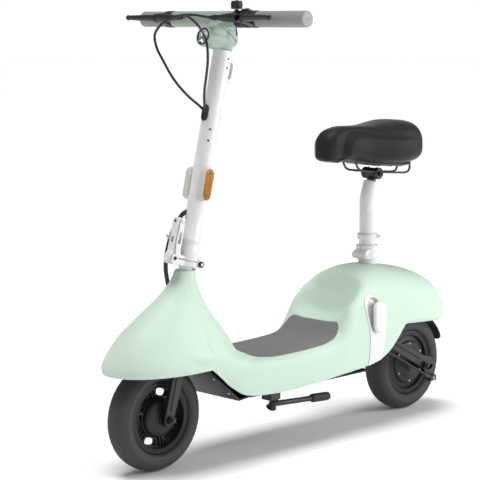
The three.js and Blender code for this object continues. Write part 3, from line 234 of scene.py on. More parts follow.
# The cables: two black brake cables in free loops from the levers to the grommet in the stem, and the thick
# harness that leaves the stem above the hinge and goes into the neck of the body. Each is a plastic housing,
# and its route is the one that the solids follow.
steer = next(joint for joint in frame["joints"] if joint["name"] == "steering_turn")
steer_up = Vector(steer["axis"])
steer_on = Vector((steer_up.z, 0, -steer_up.x))
STEERED = Matrix.Identity(4)
for row in range(3):
    STEERED[row] = (steer_on[row], ACROSS[row], steer_up[row], steer["pos_m"][row] / MM)

brake_cable_radius = 3.1
harness_radius = 5.2
left_cable_route = [
    (0.070, 0.011, 1.077), (0.073, -0.008, 1.079), (0.079, -0.030, 1.0808), (0.0856, -0.0648, 1.0792),
    (0.0917, -0.0939, 1.0702), (0.0961, -0.1233, 1.0545), (0.0965, -0.1395, 1.0347), (0.0955, -0.141, 1.0217),
    (0.0895, -0.133, 0.9969), (0.0809, -0.1139, 0.9697), (0.0657, -0.0817, 0.9278), (0.0492, -0.0434, 0.8934),
    (0.031, -0.008, 0.869), (0.022, -0.004, 0.861),
]
right_cable_route = [
    (0.070, -0.0811, 1.077), (0.073, -0.066, 1.0786), (0.0877, -0.0268, 1.0665), (0.0976, 0.011, 1.0479),
    (0.1005, 0.0374, 1.0254), (0.0983, 0.0496, 1.0035), (0.0904, 0.0518, 0.9705), (0.0774, 0.0417, 0.9379),
    (0.0588, 0.0242, 0.9032), (0.033, 0.006, 0.872), (0.022, 0.003, 0.860),
]
harness_route = [
    (0.016, -0.009, 0.622), (0.025, -0.014, 0.612), (0.033, -0.021, 0.590), (0.039, -0.027, 0.560),
    (0.041, -0.029, 0.530), (0.041, -0.029, 0.500), (0.037, -0.027, 0.472), (0.031, -0.023, 0.450),
    (0.023, -0.020, 0.428),
]
harness_joint = 5


def flowing(route, spacing=3.0):
    """Points along a smooth line through a route, no further apart than the spacing."""
    places = [np.array(p, float) for p in route]
    places = [2 * places[0] - places[1], *places, 2 * places[-1] - places[-2]]
    made = []
    for a, b, c, d in zip(places, places[1:], places[2:], places[3:]):
        before, here, after = (max(np.linalg.norm(q - p), 1e-6) ** 0.5 for p, q in ((a, b), (b, c), (c, d)))
        leave = ((b - a) / before - (c - a) / (before + here) + (c - b) / here) * here
        reach = ((c - b) / here - (d - b) / (here + after) + (d - c) / after) * here
        steps = max(2, math.ceil(np.linalg.norm(c - b) / spacing))
        for t in np.linspace(0, 1, steps, endpoint=False):
            turn = t * t * (3 - 2 * t)
            made.append(b + (c - b) * turn + leave * t * (1 - t) ** 2 - reach * t * t * (1 - t))
    made.append(places[-2])
    return [Vector(p) for p in made]


def mesh_of(points, faces):
    """A closed mesh from points and faces, with its faces turned outwards."""
    mesh = bpy.data.meshes.new("part")
    mesh.from_pydata([tuple(p) for p in points], [], faces)
    return outward(mesh)


def outward(mesh):
    shape = bmesh.new()
    shape.from_mesh(mesh)
    bmesh.ops.recalc_face_normals(shape, faces=shape.faces)
    shape.to_mesh(mesh)
    shape.free()
    return mesh


def fuse(*meshes):
    """Several meshes as one, each with its own closed skin."""
    shape = bmesh.new()
    for mesh in meshes:
        shape.from_mesh(mesh)
    made = bpy.data.meshes.new("part")
    shape.to_mesh(made)
    shape.free()
    return made


def lathe_rings(rings, closed):
    """A skin over rings of points; closed joins the last ring to the first, and otherwise the ends get caps."""
    sides = len(rings[0])
    count = len(rings)
    faces = []
    for r in range(count if closed else count - 1):
        low, high = r * sides, ((r + 1) % count) * sides
        for i in range(sides):
            j = (i + 1) % sides
            faces.append((low + i, low + j, high + j, high + i))
    if not closed:
        faces.append(tuple(range(sides))[::-1])
        faces.append(tuple(range((count - 1) * sides, count * sides)))
    return mesh_of([p for ring in rings for p in ring], faces)


def tube(path, radius, edge=0.0, sides=28):
    """A round bar along points; radius is one value or one for each point, and edge softens its two ends."""
    path = [Vector(p) for p in path]
    radii = list(radius) if hasattr(radius, "__len__") else [radius] * len(path)
    if edge:
        first = (path[1] - path[0]).normalized() * edge
        last = (path[-2] - path[-1]).normalized() * edge
        path = [path[0], path[0] + first * 0.3, path[0] + first, *path[1:-1]] + [
            path[-1] + last,
            path[-1] + last * 0.3,
            path[-1],
        ]
        ends = [(radii[i] - edge, radii[i] - edge * 0.3, radii[i]) for i in (0, -1)]
        radii = [*ends[0], *radii[1:-1], *ends[1][::-1]]
    ways = [(path[min(i + 1, len(path) - 1)] - path[max(i - 1, 0)]).normalized() for i in range(len(path))]
    across = ways[0].orthogonal().normalized()
    rings = []
    for place, way, size in zip(path, ways, radii):
        across = (across - way * across.dot(way)).normalized()
        over = way.cross(across)
        turns = [math.tau * i / sides for i in range(sides)]
        rings.append([place + (across * math.cos(a) + over * math.sin(a)) * size for a in turns])
    return lathe_rings(rings, False)


sharp_from = math.radians(38)


def hang(name, mesh, body, finish, *solids):
    """Hangs a finished mesh on its body, in metres, with its finish, in place of the solids it stands for."""
    mesh.transform(Matrix.Scale(MM, 4))
    mesh.name = name
    mesh.materials.clear()
    mesh.materials.append(finish.material)
    for polygon in mesh.polygons:
        polygon.use_smooth = True
        polygon.material_index = 0
    mesh.set_sharp_from_angle(angle=sharp_from)
    item = bpy.data.objects.new(name, mesh)
    bpy.context.scene.collection.objects.link(item)
    if body:
        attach(item, body)
    if solids:
        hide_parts(*solids)
    return item


def steered(route):
    """A route in metres along the steering axis, in millimetres in the vehicle's frame."""
    return [STEERED @ (Vector(p) / MM) for p in route]


def length_of(path):
    return sum((b - a).length for a, b in zip(path, path[1:]))


cable_jacket = Finish("cable_jacket", "black_plastic", "17181a", 0.42)
cable_jacket.uneven(0.06, 240.0)
cable_jacket.grained(0.00004, 1600.0, 1.0)


def hang_cable(name, path, radius, body, solid=None):
    """A free cable; its points are in millimetres."""
    item = hang(name, tube(path, radius, 0.0, 20), body, cable_jacket, *([solid] if solid else []))
    metres = [tuple(p * MM) for p in path]
    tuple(metres[0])
    length_of(path) * MM
    return item


hang_cable(
    "left_cable_housing", flowing(steered(left_cable_route)), brake_cable_radius, "stem", "left_brake_cable"
)
hang_cable(
    "right_cable_housing", flowing(steered(right_cable_route)), brake_cable_radius, "stem",
    "right_brake_cable"
)
harness_line = flowing(steered(harness_route))
harness_split = min(
    range(len(harness_line)), key=lambda i: (harness_line[i] - steered(harness_route)[harness_joint]).length
)
for name, path, bodies, solids in (
    ("harness_upper", harness_line[: harness_split + 1][::-1], ("steering", "stem"), "main_harness"),
    ("harness_lower", harness_line[harness_split:][::-1], ("frame", "steering"), None),
):
    half_harness = hang_cable(name, path, harness_radius, None, solids)
    path[0] * MM
    path[-1] * MM
    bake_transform(half_harness)

# The welded steel frame hides inside the body: two rails, the head tube with its bearings, and the seat tube.
# It is powder coated black. The battery, in its wrap, and the controller's ribbed case are strapped between
# the rails.
def dress(finish, *names):
    """Gives solids that stay as they are a finish."""
    for name in names:
        data = nodes[name].data
        data.materials.clear()
        data.materials.append(finish.material)


black_coat = Finish("black_coat", "black_metal", "101112", 0.44, Metallic=0.0)
black_coat.uneven(0.07, 420.0)
black_coat.grained(0.00006, 1400.0, 1.0)
bright_steel = Finish("bright_steel", "steel", "c2c4c6", 0.28, Metallic=1.0)
bright_steel.uneven(0.08, 600.0, 2.0, (1.0, 6.0, 1.0))
dark_alloy = Finish("dark_alloy", "dark_alloy", "242527", 0.46, Metallic=0.35)
dark_alloy.uneven(0.08, 300.0)
dark_alloy.grained(0.00007, 1100.0, 1.0)
battery_wrap = Finish("battery_wrap", "battery_wrap", "2b3037", 0.5)
battery_wrap.grained(0.0003, 90.0)
dress(black_coat, "main_frame")
dress(bright_steel, "lower_bearing", "upper_bearing")
dress(dark_alloy, "controller_box")
dress(battery_wrap, "battery_pack")

# The body is one smooth form in mint plastic, moulded in three shells that meet at fine seams: a shroud that
# flares from the steering head over the front wheel, a deck, and a hump over the rear wheel. The plastic is
# satin.
axle_front, axle_rear, axle_height = 453.75, -458.25, 129.5
body_tail, body_leg, body_bottom, body_rise, body_half = -572.0, 366.0, 151.0, 268.0, 115.0
body_tuck, scoop_depth, scoop_half = 12.0, 74.0, 101.0
skirt_height, neck_height = 243.0, 469.0
# Rows from the tail forward: place, top, bottom, half width, scoop, widest height and squareness.
body_stations = """0 .42 .373 .2 0 .1 2, .014 .545 .373 .54 0 .1 2.2, .04 .683 .373 .76 0 .1 2.3,
.077 .799 .377 .89 0 .1 2.4, .13 .884 .384 .965 0 .1 2.5, .183 .937 .396 .99 0 .12 2.5,
.233 .97 .407 1 0 .14 2.6, .27 .99 .28 1 0 .2 2.6, .302 1 .18 1 0 .28 2.7, .335 .998 .118 1 0 .32 2.8,
.366 .99 .09 1 .04 .34 3, .396 .968 .072 1 .1 .36 3.2, .426 .925 .06 1 .7 .38 3.4, .45 .855 .052 1 1 .4 3.5,
.471 .762 .046 1 .82 .42 3.6, .49 .62 .042 1 .34 .46 3.8, .512 .48 .037 1 .05 .52 4,
.54 .396 .03 1 0 .58 4.4, .588 .366 .015 1 0 .6 4.5, .727 .351 0 1 0 .6 4.5, .802 .358 .011 1 0 .6 4.5,
.872 .384 .045 1 0 .6 4.2, .926 .43 .146 .98 0 .5 4, .969 .451 .265 .955 0 .4 4, 1 .437 .347 .935 0 .35 4"""
# Rows from the skirt up to the neck: height, then the reach forward, to the side and to the rear.
horn_levels = """0 .972 .965 1, .066 1 1 .97, .155 .982 .956 .88, .252 .93 .885 .78, .367 .838 .779 .65,
.496 .677 .637 .49, .606 .516 .513 .37, .726 .339 .389 .262, .836 .229 .292 .19, .938 .156 .236 .143,
1 .135 .222 .129"""
horn_reaches = (186.41, 113.0, 195.0)
horn_square = 2.15
fillet, leg_runs_on = 46.0, 78.0


def table(text):
    return np.array([[float(value) for value in row.split()] for row in text.split(",")])


def through(knots, values):
    """A smooth curve through values that doesn't swing past them; beyond its ends it goes straight on."""
    knots, values = np.asarray(knots, float), np.asarray(values, float)
    steps = np.diff(knots)
    slopes = np.diff(values) / steps
    same = slopes[:-1] * slopes[1:] > 0
    weights = np.where(same, slopes[:-1] + slopes[1:], 1.0)
    middle = np.where(same, 2 * slopes[:-1] * slopes[1:] / weights, 0.0)
    turns = np.concatenate([slopes[:1], middle, slopes[-1:]])

    def at(x):
        x = np.asarray(x, float)
        i = np.clip(np.searchsorted(knots, x) - 1, 0, len(steps) - 1)
        inside = np.clip(x, knots[0], knots[-1])
        t = (inside - knots[i]) / steps[i]
        low, high = values[i], values[i + 1]
        curve = low + (high - low) * t * t * (3 - 2 * t)
        curve += steps[i] * (turns[i] * t * (1 - t) ** 2 - turns[i + 1] * t * t * (1 - t))
        return curve + (x - inside) * np.where(x < knots[0], turns[0], turns[-1])

    return at


stations = table(body_stations)
levels = table(horn_levels)
body_curves = [through(np.sqrt(stations[:, 0]), stations[:, i]) for i in range(1, 7)]
horn_curves = [through(levels[:, 0], levels[:, i]) for i in range(1, 4)]


def body_bottom_at(x):
    """Height of the body's lower edge: the hump and deck behind the leg, the skirt ahead of it."""
    along = np.sqrt(np.clip((x - body_tail) / (body_leg - body_tail), 0, 1))
    return np.where(x < body_leg, body_bottom + body_curves[1](along) * body_rise, skirt_height)


def body_field(x, y, z):
    """Below 1 inside the hump, deck and leg, and above 1 outside them."""
    along = np.sqrt(np.clip((x - body_tail) / (body_leg - body_tail), 0, 1))
    top, bottom, width, scoop, widest, square = (curve(along) for curve in body_curves)
    top_z, bottom_z = body_bottom + top * body_rise, body_bottom + bottom * body_rise
    wide_z = bottom_z + widest * (top_z - bottom_z)
    half = width * body_half * (1 - 0.5 * np.clip((x - body_leg) / leg_runs_on, 0, 1) ** 2)
    across = np.abs(y)
    dip = scoop * scoop_depth * (1 - np.clip(across / scoop_half, 0, 1) ** 4) ** 1.6
    up = np.clip((z + dip - wide_z) / (top_z - wide_z), 0, None)
    down = np.clip((wide_z - z) / (wide_z - bottom_z), 0, 1.4)
    level = (across / half) ** square + up**square
    upper = np.maximum(level, 1e-9) ** (1 / square)
    lower = across / (half - body_tuck * width * down**2)
    ends = np.maximum(x - body_leg - leg_runs_on, body_tail - x) / 60 + 1
    return np.maximum(np.where(down > 0, lower, upper), ends)


def horn_field(x, y, z):
    """Below 1 inside the horn round the steering head, and above 1 outside it."""
    height = (z - skirt_height) / (neck_height - skirt_height)
    front, side, rear = (curve(np.clip(height, -0.12, 1)) for curve in horn_curves)
    ahead = x - (STEERED[0][3] - z * steer_on[2] / steer_on[0])
    reach = np.where(ahead > 0, front * horn_reaches[0], rear * horn_reaches[2])
    level = (np.abs(ahead) / reach) ** horn_square + (np.abs(y) / (side * horn_reaches[1])) ** horn_square
    return np.maximum(level, 1e-9) ** (1 / horn_square)


def distance(field, places, step=0.5):
    """Distance of places to a field's surface, and the way out of it."""
    here = field(*places.T)
    slope = np.empty_like(places)
    for axis in range(3):
        shift = np.zeros(3)
        shift[axis] = step
        slope[:, axis] = (field(*(places + shift).T) - field(*(places - shift).T)) / (2 * step)
    steep = np.maximum(np.linalg.norm(slope, axis=1), 1e-6)
    return (here - 1) / steep, slope / steep[:, None]


def body_skin(places):
    """Distance to the skin of the whole body and the way out of it; hollows where the forms meet are filleted."""
    to_body, off_body = distance(body_field, places)
    to_horn, off_horn = distance(horn_field, places)
    size = fillet * np.clip(1 - (off_body * off_horn).sum(axis=1), 0, 1) + 5.0
    share = np.clip(0.5 + 0.5 * (to_horn - to_body) / size, 0, 1)
    gap = to_body * share + to_horn * (1 - share) - size * share * (1 - share)
    way = off_body * share[:, None] + off_horn * (1 - share)[:, None]
    return gap, way / np.maximum(np.linalg.norm(way, axis=1), 1e-6)[:, None]


def onto_skin(places, rounds=6):
    for _ in range(rounds):
        gap, way = body_skin(places)
        places = places - way * np.clip(gap, -12, 12)[:, None]
    return places


def places_of(mesh):
    places = np.empty(len(mesh.vertices) * 3)
    mesh.vertices.foreach_get("co", places)
    return places.reshape(-1, 3)


def moved(mesh, places):
    mesh.vertices.foreach_set("co", places.ravel())
    mesh.update()
    return mesh


def settled(mesh, *modifiers):
    """A mesh after modifiers, each given as its kind and settings."""
    item = bpy.data.objects.new("being_made", mesh)
    bpy.context.scene.collection.objects.link(item)
    for kind, settings in modifiers:
        modifier = item.modifiers.new(kind, kind)
        for name, value in settings.items():
            setattr(modifier, name, value)
    bpy.context.view_layer.update()
    made = bpy.data.meshes.new_from_object(item.evaluated_get(bpy.context.evaluated_depsgraph_get()))
    bpy.data.objects.remove(item)
    return made


def relaxed(mesh, rounds, share=0.5):
    """Evens out the points of a mesh over its surface."""
    return settled(mesh, ("SMOOTH", {"factor": share, "iterations": rounds}))


noseward = 133.0


def rough_body(step=8.0, turns=56):
    """Slices across the body, each drawn by rays from below its middle line to the skin."""
    slices = np.arange(body_tail + 1.0, axle_front + noseward, step)
    angles = np.linspace(0, math.pi, turns)
    ways = np.stack([0 * angles, np.cos(angles), np.sin(angles)], axis=1)
    rings = []
    for x in slices:
        start = np.array([x, 0, float(body_bottom_at(x)) - 14.0])
        low, high = np.zeros(turns), np.full(turns, 420.0)
        for _ in range(16):
            middle = (low + high) / 2
            places = start + ways * middle[:, None]
            outside = np.minimum(body_field(*places.T), horn_field(*places.T)) > 1
            low, high = np.where(outside, low, middle), np.where(outside, middle, high)
        rings.append([start - (0, 0, 2), *(start + ways * np.maximum(low, 1)[:, None])])
    return lathe_rings(rings, False)


body_grain = 4.5
body_mesh = settled(rough_body(), ("REMESH", {"mode": "VOXEL", "voxel_size": body_grain}))
for _ in range(3):
    body_mesh = relaxed(body_mesh, 3)
    moved(body_mesh, onto_skin(places_of(body_mesh), 3))
moved(body_mesh, onto_skin(places_of(body_mesh)))
body_mesh = relaxed(body_mesh, 4)


def trimmed(mesh, depth):
    """Cuts a mesh along the line where depth, a function of its points, is nought, and keeps the side above."""
    places = places_of(mesh)
    level = depth(places)
    level[np.abs(level) < 0.15] = 0
    ends = np.empty(2 * len(mesh.edges), int)
    mesh.edges.foreach_get("vertices", ends)
    ends = ends.reshape(-1, 2)
    crossing = np.flatnonzero(level[ends[:, 0]] * level[ends[:, 1]] < 0)
    shape = bmesh.new()
    shape.from_mesh(mesh)
    shape.verts.ensure_lookup_table()
    shape.edges.ensure_lookup_table()
    below = [shape.verts[i] for i in np.flatnonzero(level < 0)]
    line = [shape.verts[i] for i in np.flatnonzero(level == 0)]
    edges = [shape.edges[i] for i in crossing]
    for edge, i in zip(edges, crossing):
        a, b = ends[i]
        start = shape_vert(edge, a)
        line.append(bmesh.utils.edge_split(edge, start, level[a] / (level[a] - level[b]))[1])
    bmesh.ops.connect_verts(shape, verts=line)
    bmesh.ops.delete(shape, geom=below, context="VERTS")
    made = bpy.data.meshes.new("part")
    shape.to_mesh(made)
    shape.free()
    return made


def shape_vert(edge, index):
    return edge.verts[0] if edge.verts[0].index == index else edge.verts[1]


def inside(outline):
    """A function of two coordinates: how far they lie within a closed outline, below nought outside it."""
    corners = np.array([tuple(p) for p in outline], float)
    nexts = np.roll(corners, -1, axis=0)

    def depth(a, b):
        nearest = np.full(len(a), np.inf)
        within = np.zeros(len(a), bool)
        for (a0, b0), (a1, b1) in zip(corners, nexts):
            along = np.clip(((a - a0) * (a1 - a0) + (b - b0) * (b1 - b0)) / ((a1 - a0) ** 2 + (b1 - b0) ** 2),
                            0, 1)
            nearest = np.minimum(nearest, np.hypot(a - a0 - along * (a1 - a0), b - b0 - along * (b1 - b0)))
            if b0 != b1:
                within ^= ((b0 > b) != (b1 > b)) & (a < (a1 - a0) * (b - b0) / (b1 - b0) + a0)
        return np.where(within, nearest, -nearest)

    return depth


def facing(mesh, way):
    """Turns the faces of an open sheet so that they look a given way."""
    shape = bmesh.new()
    shape.from_mesh(mesh)
    bmesh.ops.recalc_face_normals(shape, faces=shape.faces)
    if sum((face.normal * face.calc_area()).dot(Vector(way)) for face in shape.faces) < 0:
        bmesh.ops.reverse_faces(shape, faces=shape.faces)
    shape.to_mesh(mesh)
    shape.free()
    return mesh


def walled(mesh, thickness):
    return settled(mesh, ("SOLIDIFY", {"thickness": thickness, "offset": -1.0, "use_even_offset": True}))


def oblong(left, low, right, high):
    """The corners of a rectangle."""
    return [(left, low), (right, low), (right, high), (left, high)]


def soften(corners, radius, steps=4):
    """An outline with its corners rounded."""
    corners = [Vector(corner) for corner in corners]
    made = []
    for i, corner in enumerate(corners):
        back, on = corners[i - 1] - corner, corners[(i + 1) % len(corners)] - corner
        size = min(radius, back.length * 0.45, on.length * 0.45)
        start, end = corner + back.normalized() * size, corner + on.normalized() * size
        for step in range(steps + 1):
            t = step / steps
            made.append(start * (1 - t) ** 2 + corner * 2 * t * (1 - t) + end * t * t)
    return [(p.x, p.y) for p in made]


def stadium(centre_a, centre_b, width, length, steps=14):
    """An outline with round ends; its length runs along the second axis."""
    radius = width / 2
    made = []
    for start, shift in ((0.0, length / 2 - radius), (math.pi, radius - length / 2)):
        for step in range(steps + 1):
            angle = start + math.pi * step / steps
            made.append((centre_a + radius * math.cos(angle), centre_b + shift + radius * math.sin(angle)))
    return made


seat_tube_x = -309.0
shroud_seam, tail_seam, seam_gap = 236.0, -96.0, 0.05
shell_wall = 3.0
pocket_outline = soften(
    [(-178, 318), (-184, 347), (-208, 352), (-228, 338), (-237, 310), (-236, 274), (-226, 259), (-206, 256),
     (-188, 284)],
    12,
)
mint = Finish("mint_plastic", "mint_plastic", "bfd4c4", 0.52, Specular_IOR_Level=0.3)
mint.uneven(0.035, 26.0, 3.0)
mint.grained(0.00002, 900.0, 2.0, strength=0.6)
in_pocket = inside(pocket_outline)
body_skin_mesh = trimmed(body_mesh, lambda p: p[:, 2] - body_bottom_at(p[:, 0]))
body_skin_mesh = trimmed(body_skin_mesh, lambda p: neck_height - p[:, 2])
body_skin_mesh = trimmed(body_skin_mesh, lambda p: np.hypot(p[:, 0] - seat_tube_x, p[:, 1]) - 24.0)
body_skin_mesh = trimmed(
    body_skin_mesh, lambda p: np.where(np.abs(p[:, 1]) > 60, -1.2 - in_pocket(p[:, 0], p[:, 2]), 50.0)
)
for name, solid, low, high in (
    ("shroud_shell", "front_shroud", shroud_seam + seam_gap, 1000.0),
    ("deck_moulding", "deck_shell", tail_seam + seam_gap, shroud_seam - seam_gap),
    ("hump_shell", "rear_shell", -1000.0, tail_seam - seam_gap),
):
    part = trimmed(body_skin_mesh, lambda p: p[:, 0] - low)
    part = trimmed(part, lambda p: high - p[:, 0])
    hang(name, walled(part, shell_wall), "frame", mint, solid)

# The mat: grey rubber, ribbed across for the feet, let into the deck between the horn and the foot of the hump.
mat_front, mat_rear, mat_half, mat_corner, mat_thick = 228.0, -107.0, 94.0, 26.0, 2.5
mat_turn = 92.0


def sheet(low, high, step):
    """A flat grid of points between two corners."""
    a_count, b_count = (int((h - l) / step) + 1 for l, h in zip(low, high))
    a, b = np.meshgrid(np.linspace(low[0], high[0], a_count), np.linspace(low[1], high[1], b_count),
                       indexing="ij")
    mesh = bpy.data.meshes.new("part")
    points = np.stack([a.ravel(), b.ravel(), 0 * a.ravel()], axis=1)
    faces = [
        (i * b_count + j, (i + 1) * b_count + j, (i + 1) * b_count + j + 1, i * b_count + j + 1)
        for i in range(a_count - 1)
        for j in range(b_count - 1)
    ]
    mesh.from_pydata(points.tolist(), [], faces)
    return mesh


mat_side = [(mat_front - mat_turn * (1 - math.sin(a)),
             mat_half - mat_turn * (1 - math.cos(a))) for a in np.linspace(math.pi / 2, 0, 12)]
mat_side += [
    (mat_rear + mat_corner - mat_corner * math.sin(a), mat_half - mat_corner + mat_corner * math.cos(a))
    for a in np.linspace(0, math.pi / 2, 10)
]
mat_outline = mat_side + [(x, -y) for x, y in mat_side[::-1]]
in_mat = inside(mat_outline)


def deck_height(places):
    """Height of the deck's skin, without the horn, over places."""
    z = np.full(len(places), 320.0)
    for _ in range(14):
        gap, way = distance(body_field, np.stack([places[:, 0], places[:, 1], z], axis=1))
        z = z - gap / np.clip(way[:, 2], 0.35, None)
    return z


mat = trimmed(sheet((mat_rear, -mat_half), (mat_front, mat_half), 2.0), lambda p: in_mat(p[:, 0], p[:, 1]))
spots = places_of(mat)
edge_depth = in_mat(spots[:, 0], spots[:, 1])
spots[:, 2] = deck_height(spots) + 0.3 + mat_thick - 0.9 * (1 - np.clip(edge_depth / 2.0, 0, 1))
mat = trimmed(moved(mat, spots), lambda p: body_skin(p - (0, 0, 0.3))[0] + 1.5)
mat_rubber = Finish("mat_rubber", "grey_rubber", "727270", 0.72)
along_mat = mat_rubber.axes()[0]
ribs = along_mat.ripple(1100.0)
mat_rubber.relief(ribs + mat_rubber.noise(900.0) * 0.5, 0.0005)
mat_rubber.uneven(0.06, 60.0)
hang("foot_mat", walled(facing(mat, UP), mat_thick - 0.2), "frame", mat_rubber, "deck_mat")

# The bands: white mouldings clipped down both flanks of the hump. Each has a finger pocket under its latch
# lever, a white stadium-shaped paddle that is hinged at its top and stands proud of the flank.
band_arch, band_arch_radius, band_thick, pocket_depth = (-197.0, 331.0), 26.0, 2.0, 9.0
band_outline = [(-251, 145), (-199, 145), (-198, 176), (-189, 263), (-178, 305)]
band_outline += [
    (band_arch[0] + band_arch_radius * math.cos(math.radians(a)),
     band_arch[1] + band_arch_radius * math.sin(math.radians(a)))
    for a in range(5, 110, 7)
]
band_outline += [(-224, 345), (-236, 333), (-245, 318), (-250, 300)]
lever_outline = stadium(-218.0, 298.0, 44.0, 84.0)
lever_low, lever_high = 117.6, 130.0
in_band = inside(band_outline)


def flank(places):
    """How far out the body's flank lies at places along and above it."""
    y = np.full(len(places), 125.0)
    for _ in range(14):
        gap, way = distance(body_field, np.stack([places[:, 0], y, places[:, 1]], axis=1))
        y = y - gap / np.clip(way[:, 1], 0.35, None)
    return y


def mirrored(mesh):
    """The same piece for the right side."""
    made = mesh.copy()
    moved(made, places_of(made) * (1, -1, 1))
    return outward(made)


both_sides = (("left", lambda mesh: mesh.copy()), ("right", mirrored))


def rings_over(outline, levels):
    """Copies of an outline at levels, each drawn in by its own amount: rows of height and inset."""
    corners = np.array(outline, float)
    backs = corners - np.roll(corners, 1, axis=0)
    ons = np.roll(corners, -1, axis=0) - corners
    backs /= np.maximum(np.linalg.norm(backs, axis=1), 1e-6)[:, None]
    ons /= np.maximum(np.linalg.norm(ons, axis=1), 1e-6)[:, None]
    ways = backs + ons
    ways /= np.maximum(np.linalg.norm(ways, axis=1), 1e-6)[:, None]
    inner = np.stack([-ways[:, 1], ways[:, 0]], axis=1)
    area = (corners[:, 0] * np.roll(corners[:, 1], -1) - corners[:, 1] * np.roll(corners[:, 0], -1)).sum()
    inner *= 1 if area > 0 else -1
    inner /= np.maximum(np.abs((ways * ons).sum(axis=1)), 0.5)[:, None]
    return [[(a, b, height) for a, b in corners + inner * inset] for height, inset in levels]


def plate(outline, low, high, edge=1.0, axes="xzy"):
    """A plate with rounded edges; its outline lies along the first two axes, and it is thick along the third."""
    levels = [(low + edge * up, edge * (1 - math.sqrt(max(0.0, 1 - (1 - up) ** 2)))) for up in (0.0, 0.2,
                                                                                                0.55, 1.0)]
    levels += [(high - (height - low), inset) for height, inset in levels[::-1]]
    order = ["xyz".index(axis) for axis in axes]
    rings = []
    for ring in rings_over(outline, levels):
        rings.append([tuple(p[order.index(i)] for i in range(3)) for p in ring])
    return lathe_rings(rings, False)


white_gloss = Finish("white_gloss", "white_paint", "d6d7d7", 0.26, Coat_Weight=0.25, Coat_Roughness=0.1)
white_gloss.uneven(0.04, 40.0)
white_gloss.grained(0.00002, 500.0, strength=0.5)
band = trimmed(sheet((-255, 143), (-168, 360), 2.0), lambda p: in_band(p[:, 0], p[:, 1]))
band = trimmed(band, lambda p: p[:, 1] - body_bottom_at(p[:, 0]))
spots = places_of(band)
rim = np.clip(in_band(spots[:, 0], spots[:, 1]) / 2.0, 0, 1)
sunk = np.clip(in_pocket(spots[:, 0], spots[:, 1]) / 5.0, 0, 1)
sunk = sunk * sunk * (3 - 2 * sunk)
out = flank(spots) + 0.3 + band_thick - 0.8 * (1 - rim) - pocket_depth * sunk
band = walled(facing(moved(band, np.stack([spots[:, 0], out, spots[:, 1]], axis=1)), ACROSS),
              band_thick - 0.1)
lever = plate(lever_outline, lever_low, lever_high, 5.0)
for side, made in both_sides:
    hang(f"{side}_flank_band", made(band), "frame", white_gloss, f"{side}_side_band")
    hang(f"{side}_latch_paddle", made(lever), f"side_lever_{side}", white_gloss, f"{side}_latch_lever")

# Under the body: a flat pan below the battery, the sloping cover behind the front wheel, and the inner fender
# that runs down behind the rear wheel as a mudflap. All are moulded in black plastic and screwed on from
# below.
def spun(profile, centre, way=ACROSS, sides=72, closed=False):
    """A turned piece: rows of radius and place along the way of its axis."""
    way = Vector(way).normalized()
    across = way.orthogonal().normalized()
    over = way.cross(across)
    turns = [math.tau * i / sides for i in range(sides)]
    spokes = [across * math.cos(a) + over * math.sin(a) for a in turns]
    rings = [[Vector(centre) + way * along + spoke * radius for spoke in spokes] for radius, along in profile]
    return lathe_rings(rings, closed)


def carved(mesh, *tools):
    """A mesh after other closed meshes are cut out of it."""
    for tool in tools:
        cutter = bpy.data.objects.new("being_cut_out", tool)
        bpy.context.scene.collection.objects.link(cutter)
        mesh = settled(mesh, ("BOOLEAN", {"operation": "DIFFERENCE", "solver": "EXACT", "object": cutter}))
        bpy.data.objects.remove(cutter)
    return mesh


def rod(start, end, radius, edge=0.8, sides=28):
    return tube([start, end], radius, edge, sides)


def cast(grain, rounds, *meshes):
    """Meshes melted into one moulded or cast form with soft corners."""
    melted = settled(fuse(*meshes), ("REMESH", {"mode": "VOXEL", "voxel_size": grain}))
    return relaxed(melted, rounds, 0.5)


def setting_out():
    """The tree that sets out copies of a piece on places, each turned by the place's own angles."""
    tree = bpy.data.node_groups.new("set_out_pieces", "GeometryNodeTree")
    for name, kind in (("Places", "Geometry"), ("Piece", "Object"), ("Size", "Float"),
                       ("Finish", "Material")):
        tree.interface.new_socket(name, in_out="INPUT", socket_type="NodeSocket" + kind)
    tree.interface.new_socket("Made", in_out="OUTPUT", socket_type="NodeSocketGeometry")
    kinds = ("NodeGroupInput", "GeometryNodeInputNamedAttribute", "FunctionNodeEulerToRotation",
             "GeometryNodeObjectInfo")
    given, turn, rotation, piece = (tree.nodes.new(kind) for kind in kinds)
    kinds = ("GeometryNodeInstanceOnPoints", "GeometryNodeRealizeInstances", "GeometryNodeSetMaterial",
             "NodeGroupOutput")
    copies, real, paint, made = (tree.nodes.new(kind) for kind in kinds)
    turn.data_type = "FLOAT_VECTOR"
    turn.inputs["Name"].default_value = "turn"
    for output, target in (
        (given.outputs["Places"], copies.inputs["Points"]),
        (given.outputs["Piece"], piece.inputs["Object"]),
        (piece.outputs["Geometry"], copies.inputs["Instance"]),
        (turn.outputs["Attribute"], rotation.inputs[0]),
        (rotation.outputs[0], copies.inputs["Rotation"]),
        (given.outputs["Size"], copies.inputs["Scale"]),
        (copies.outputs["Instances"], real.inputs["Geometry"]),
        (real.outputs["Geometry"], paint.inputs["Geometry"]),
        (given.outputs["Finish"], paint.inputs["Material"]),
        (paint.outputs["Geometry"], made.inputs["Made"]),
    ):
        tree.links.new(output, target)
    return tree


set_out_pieces = setting_out()


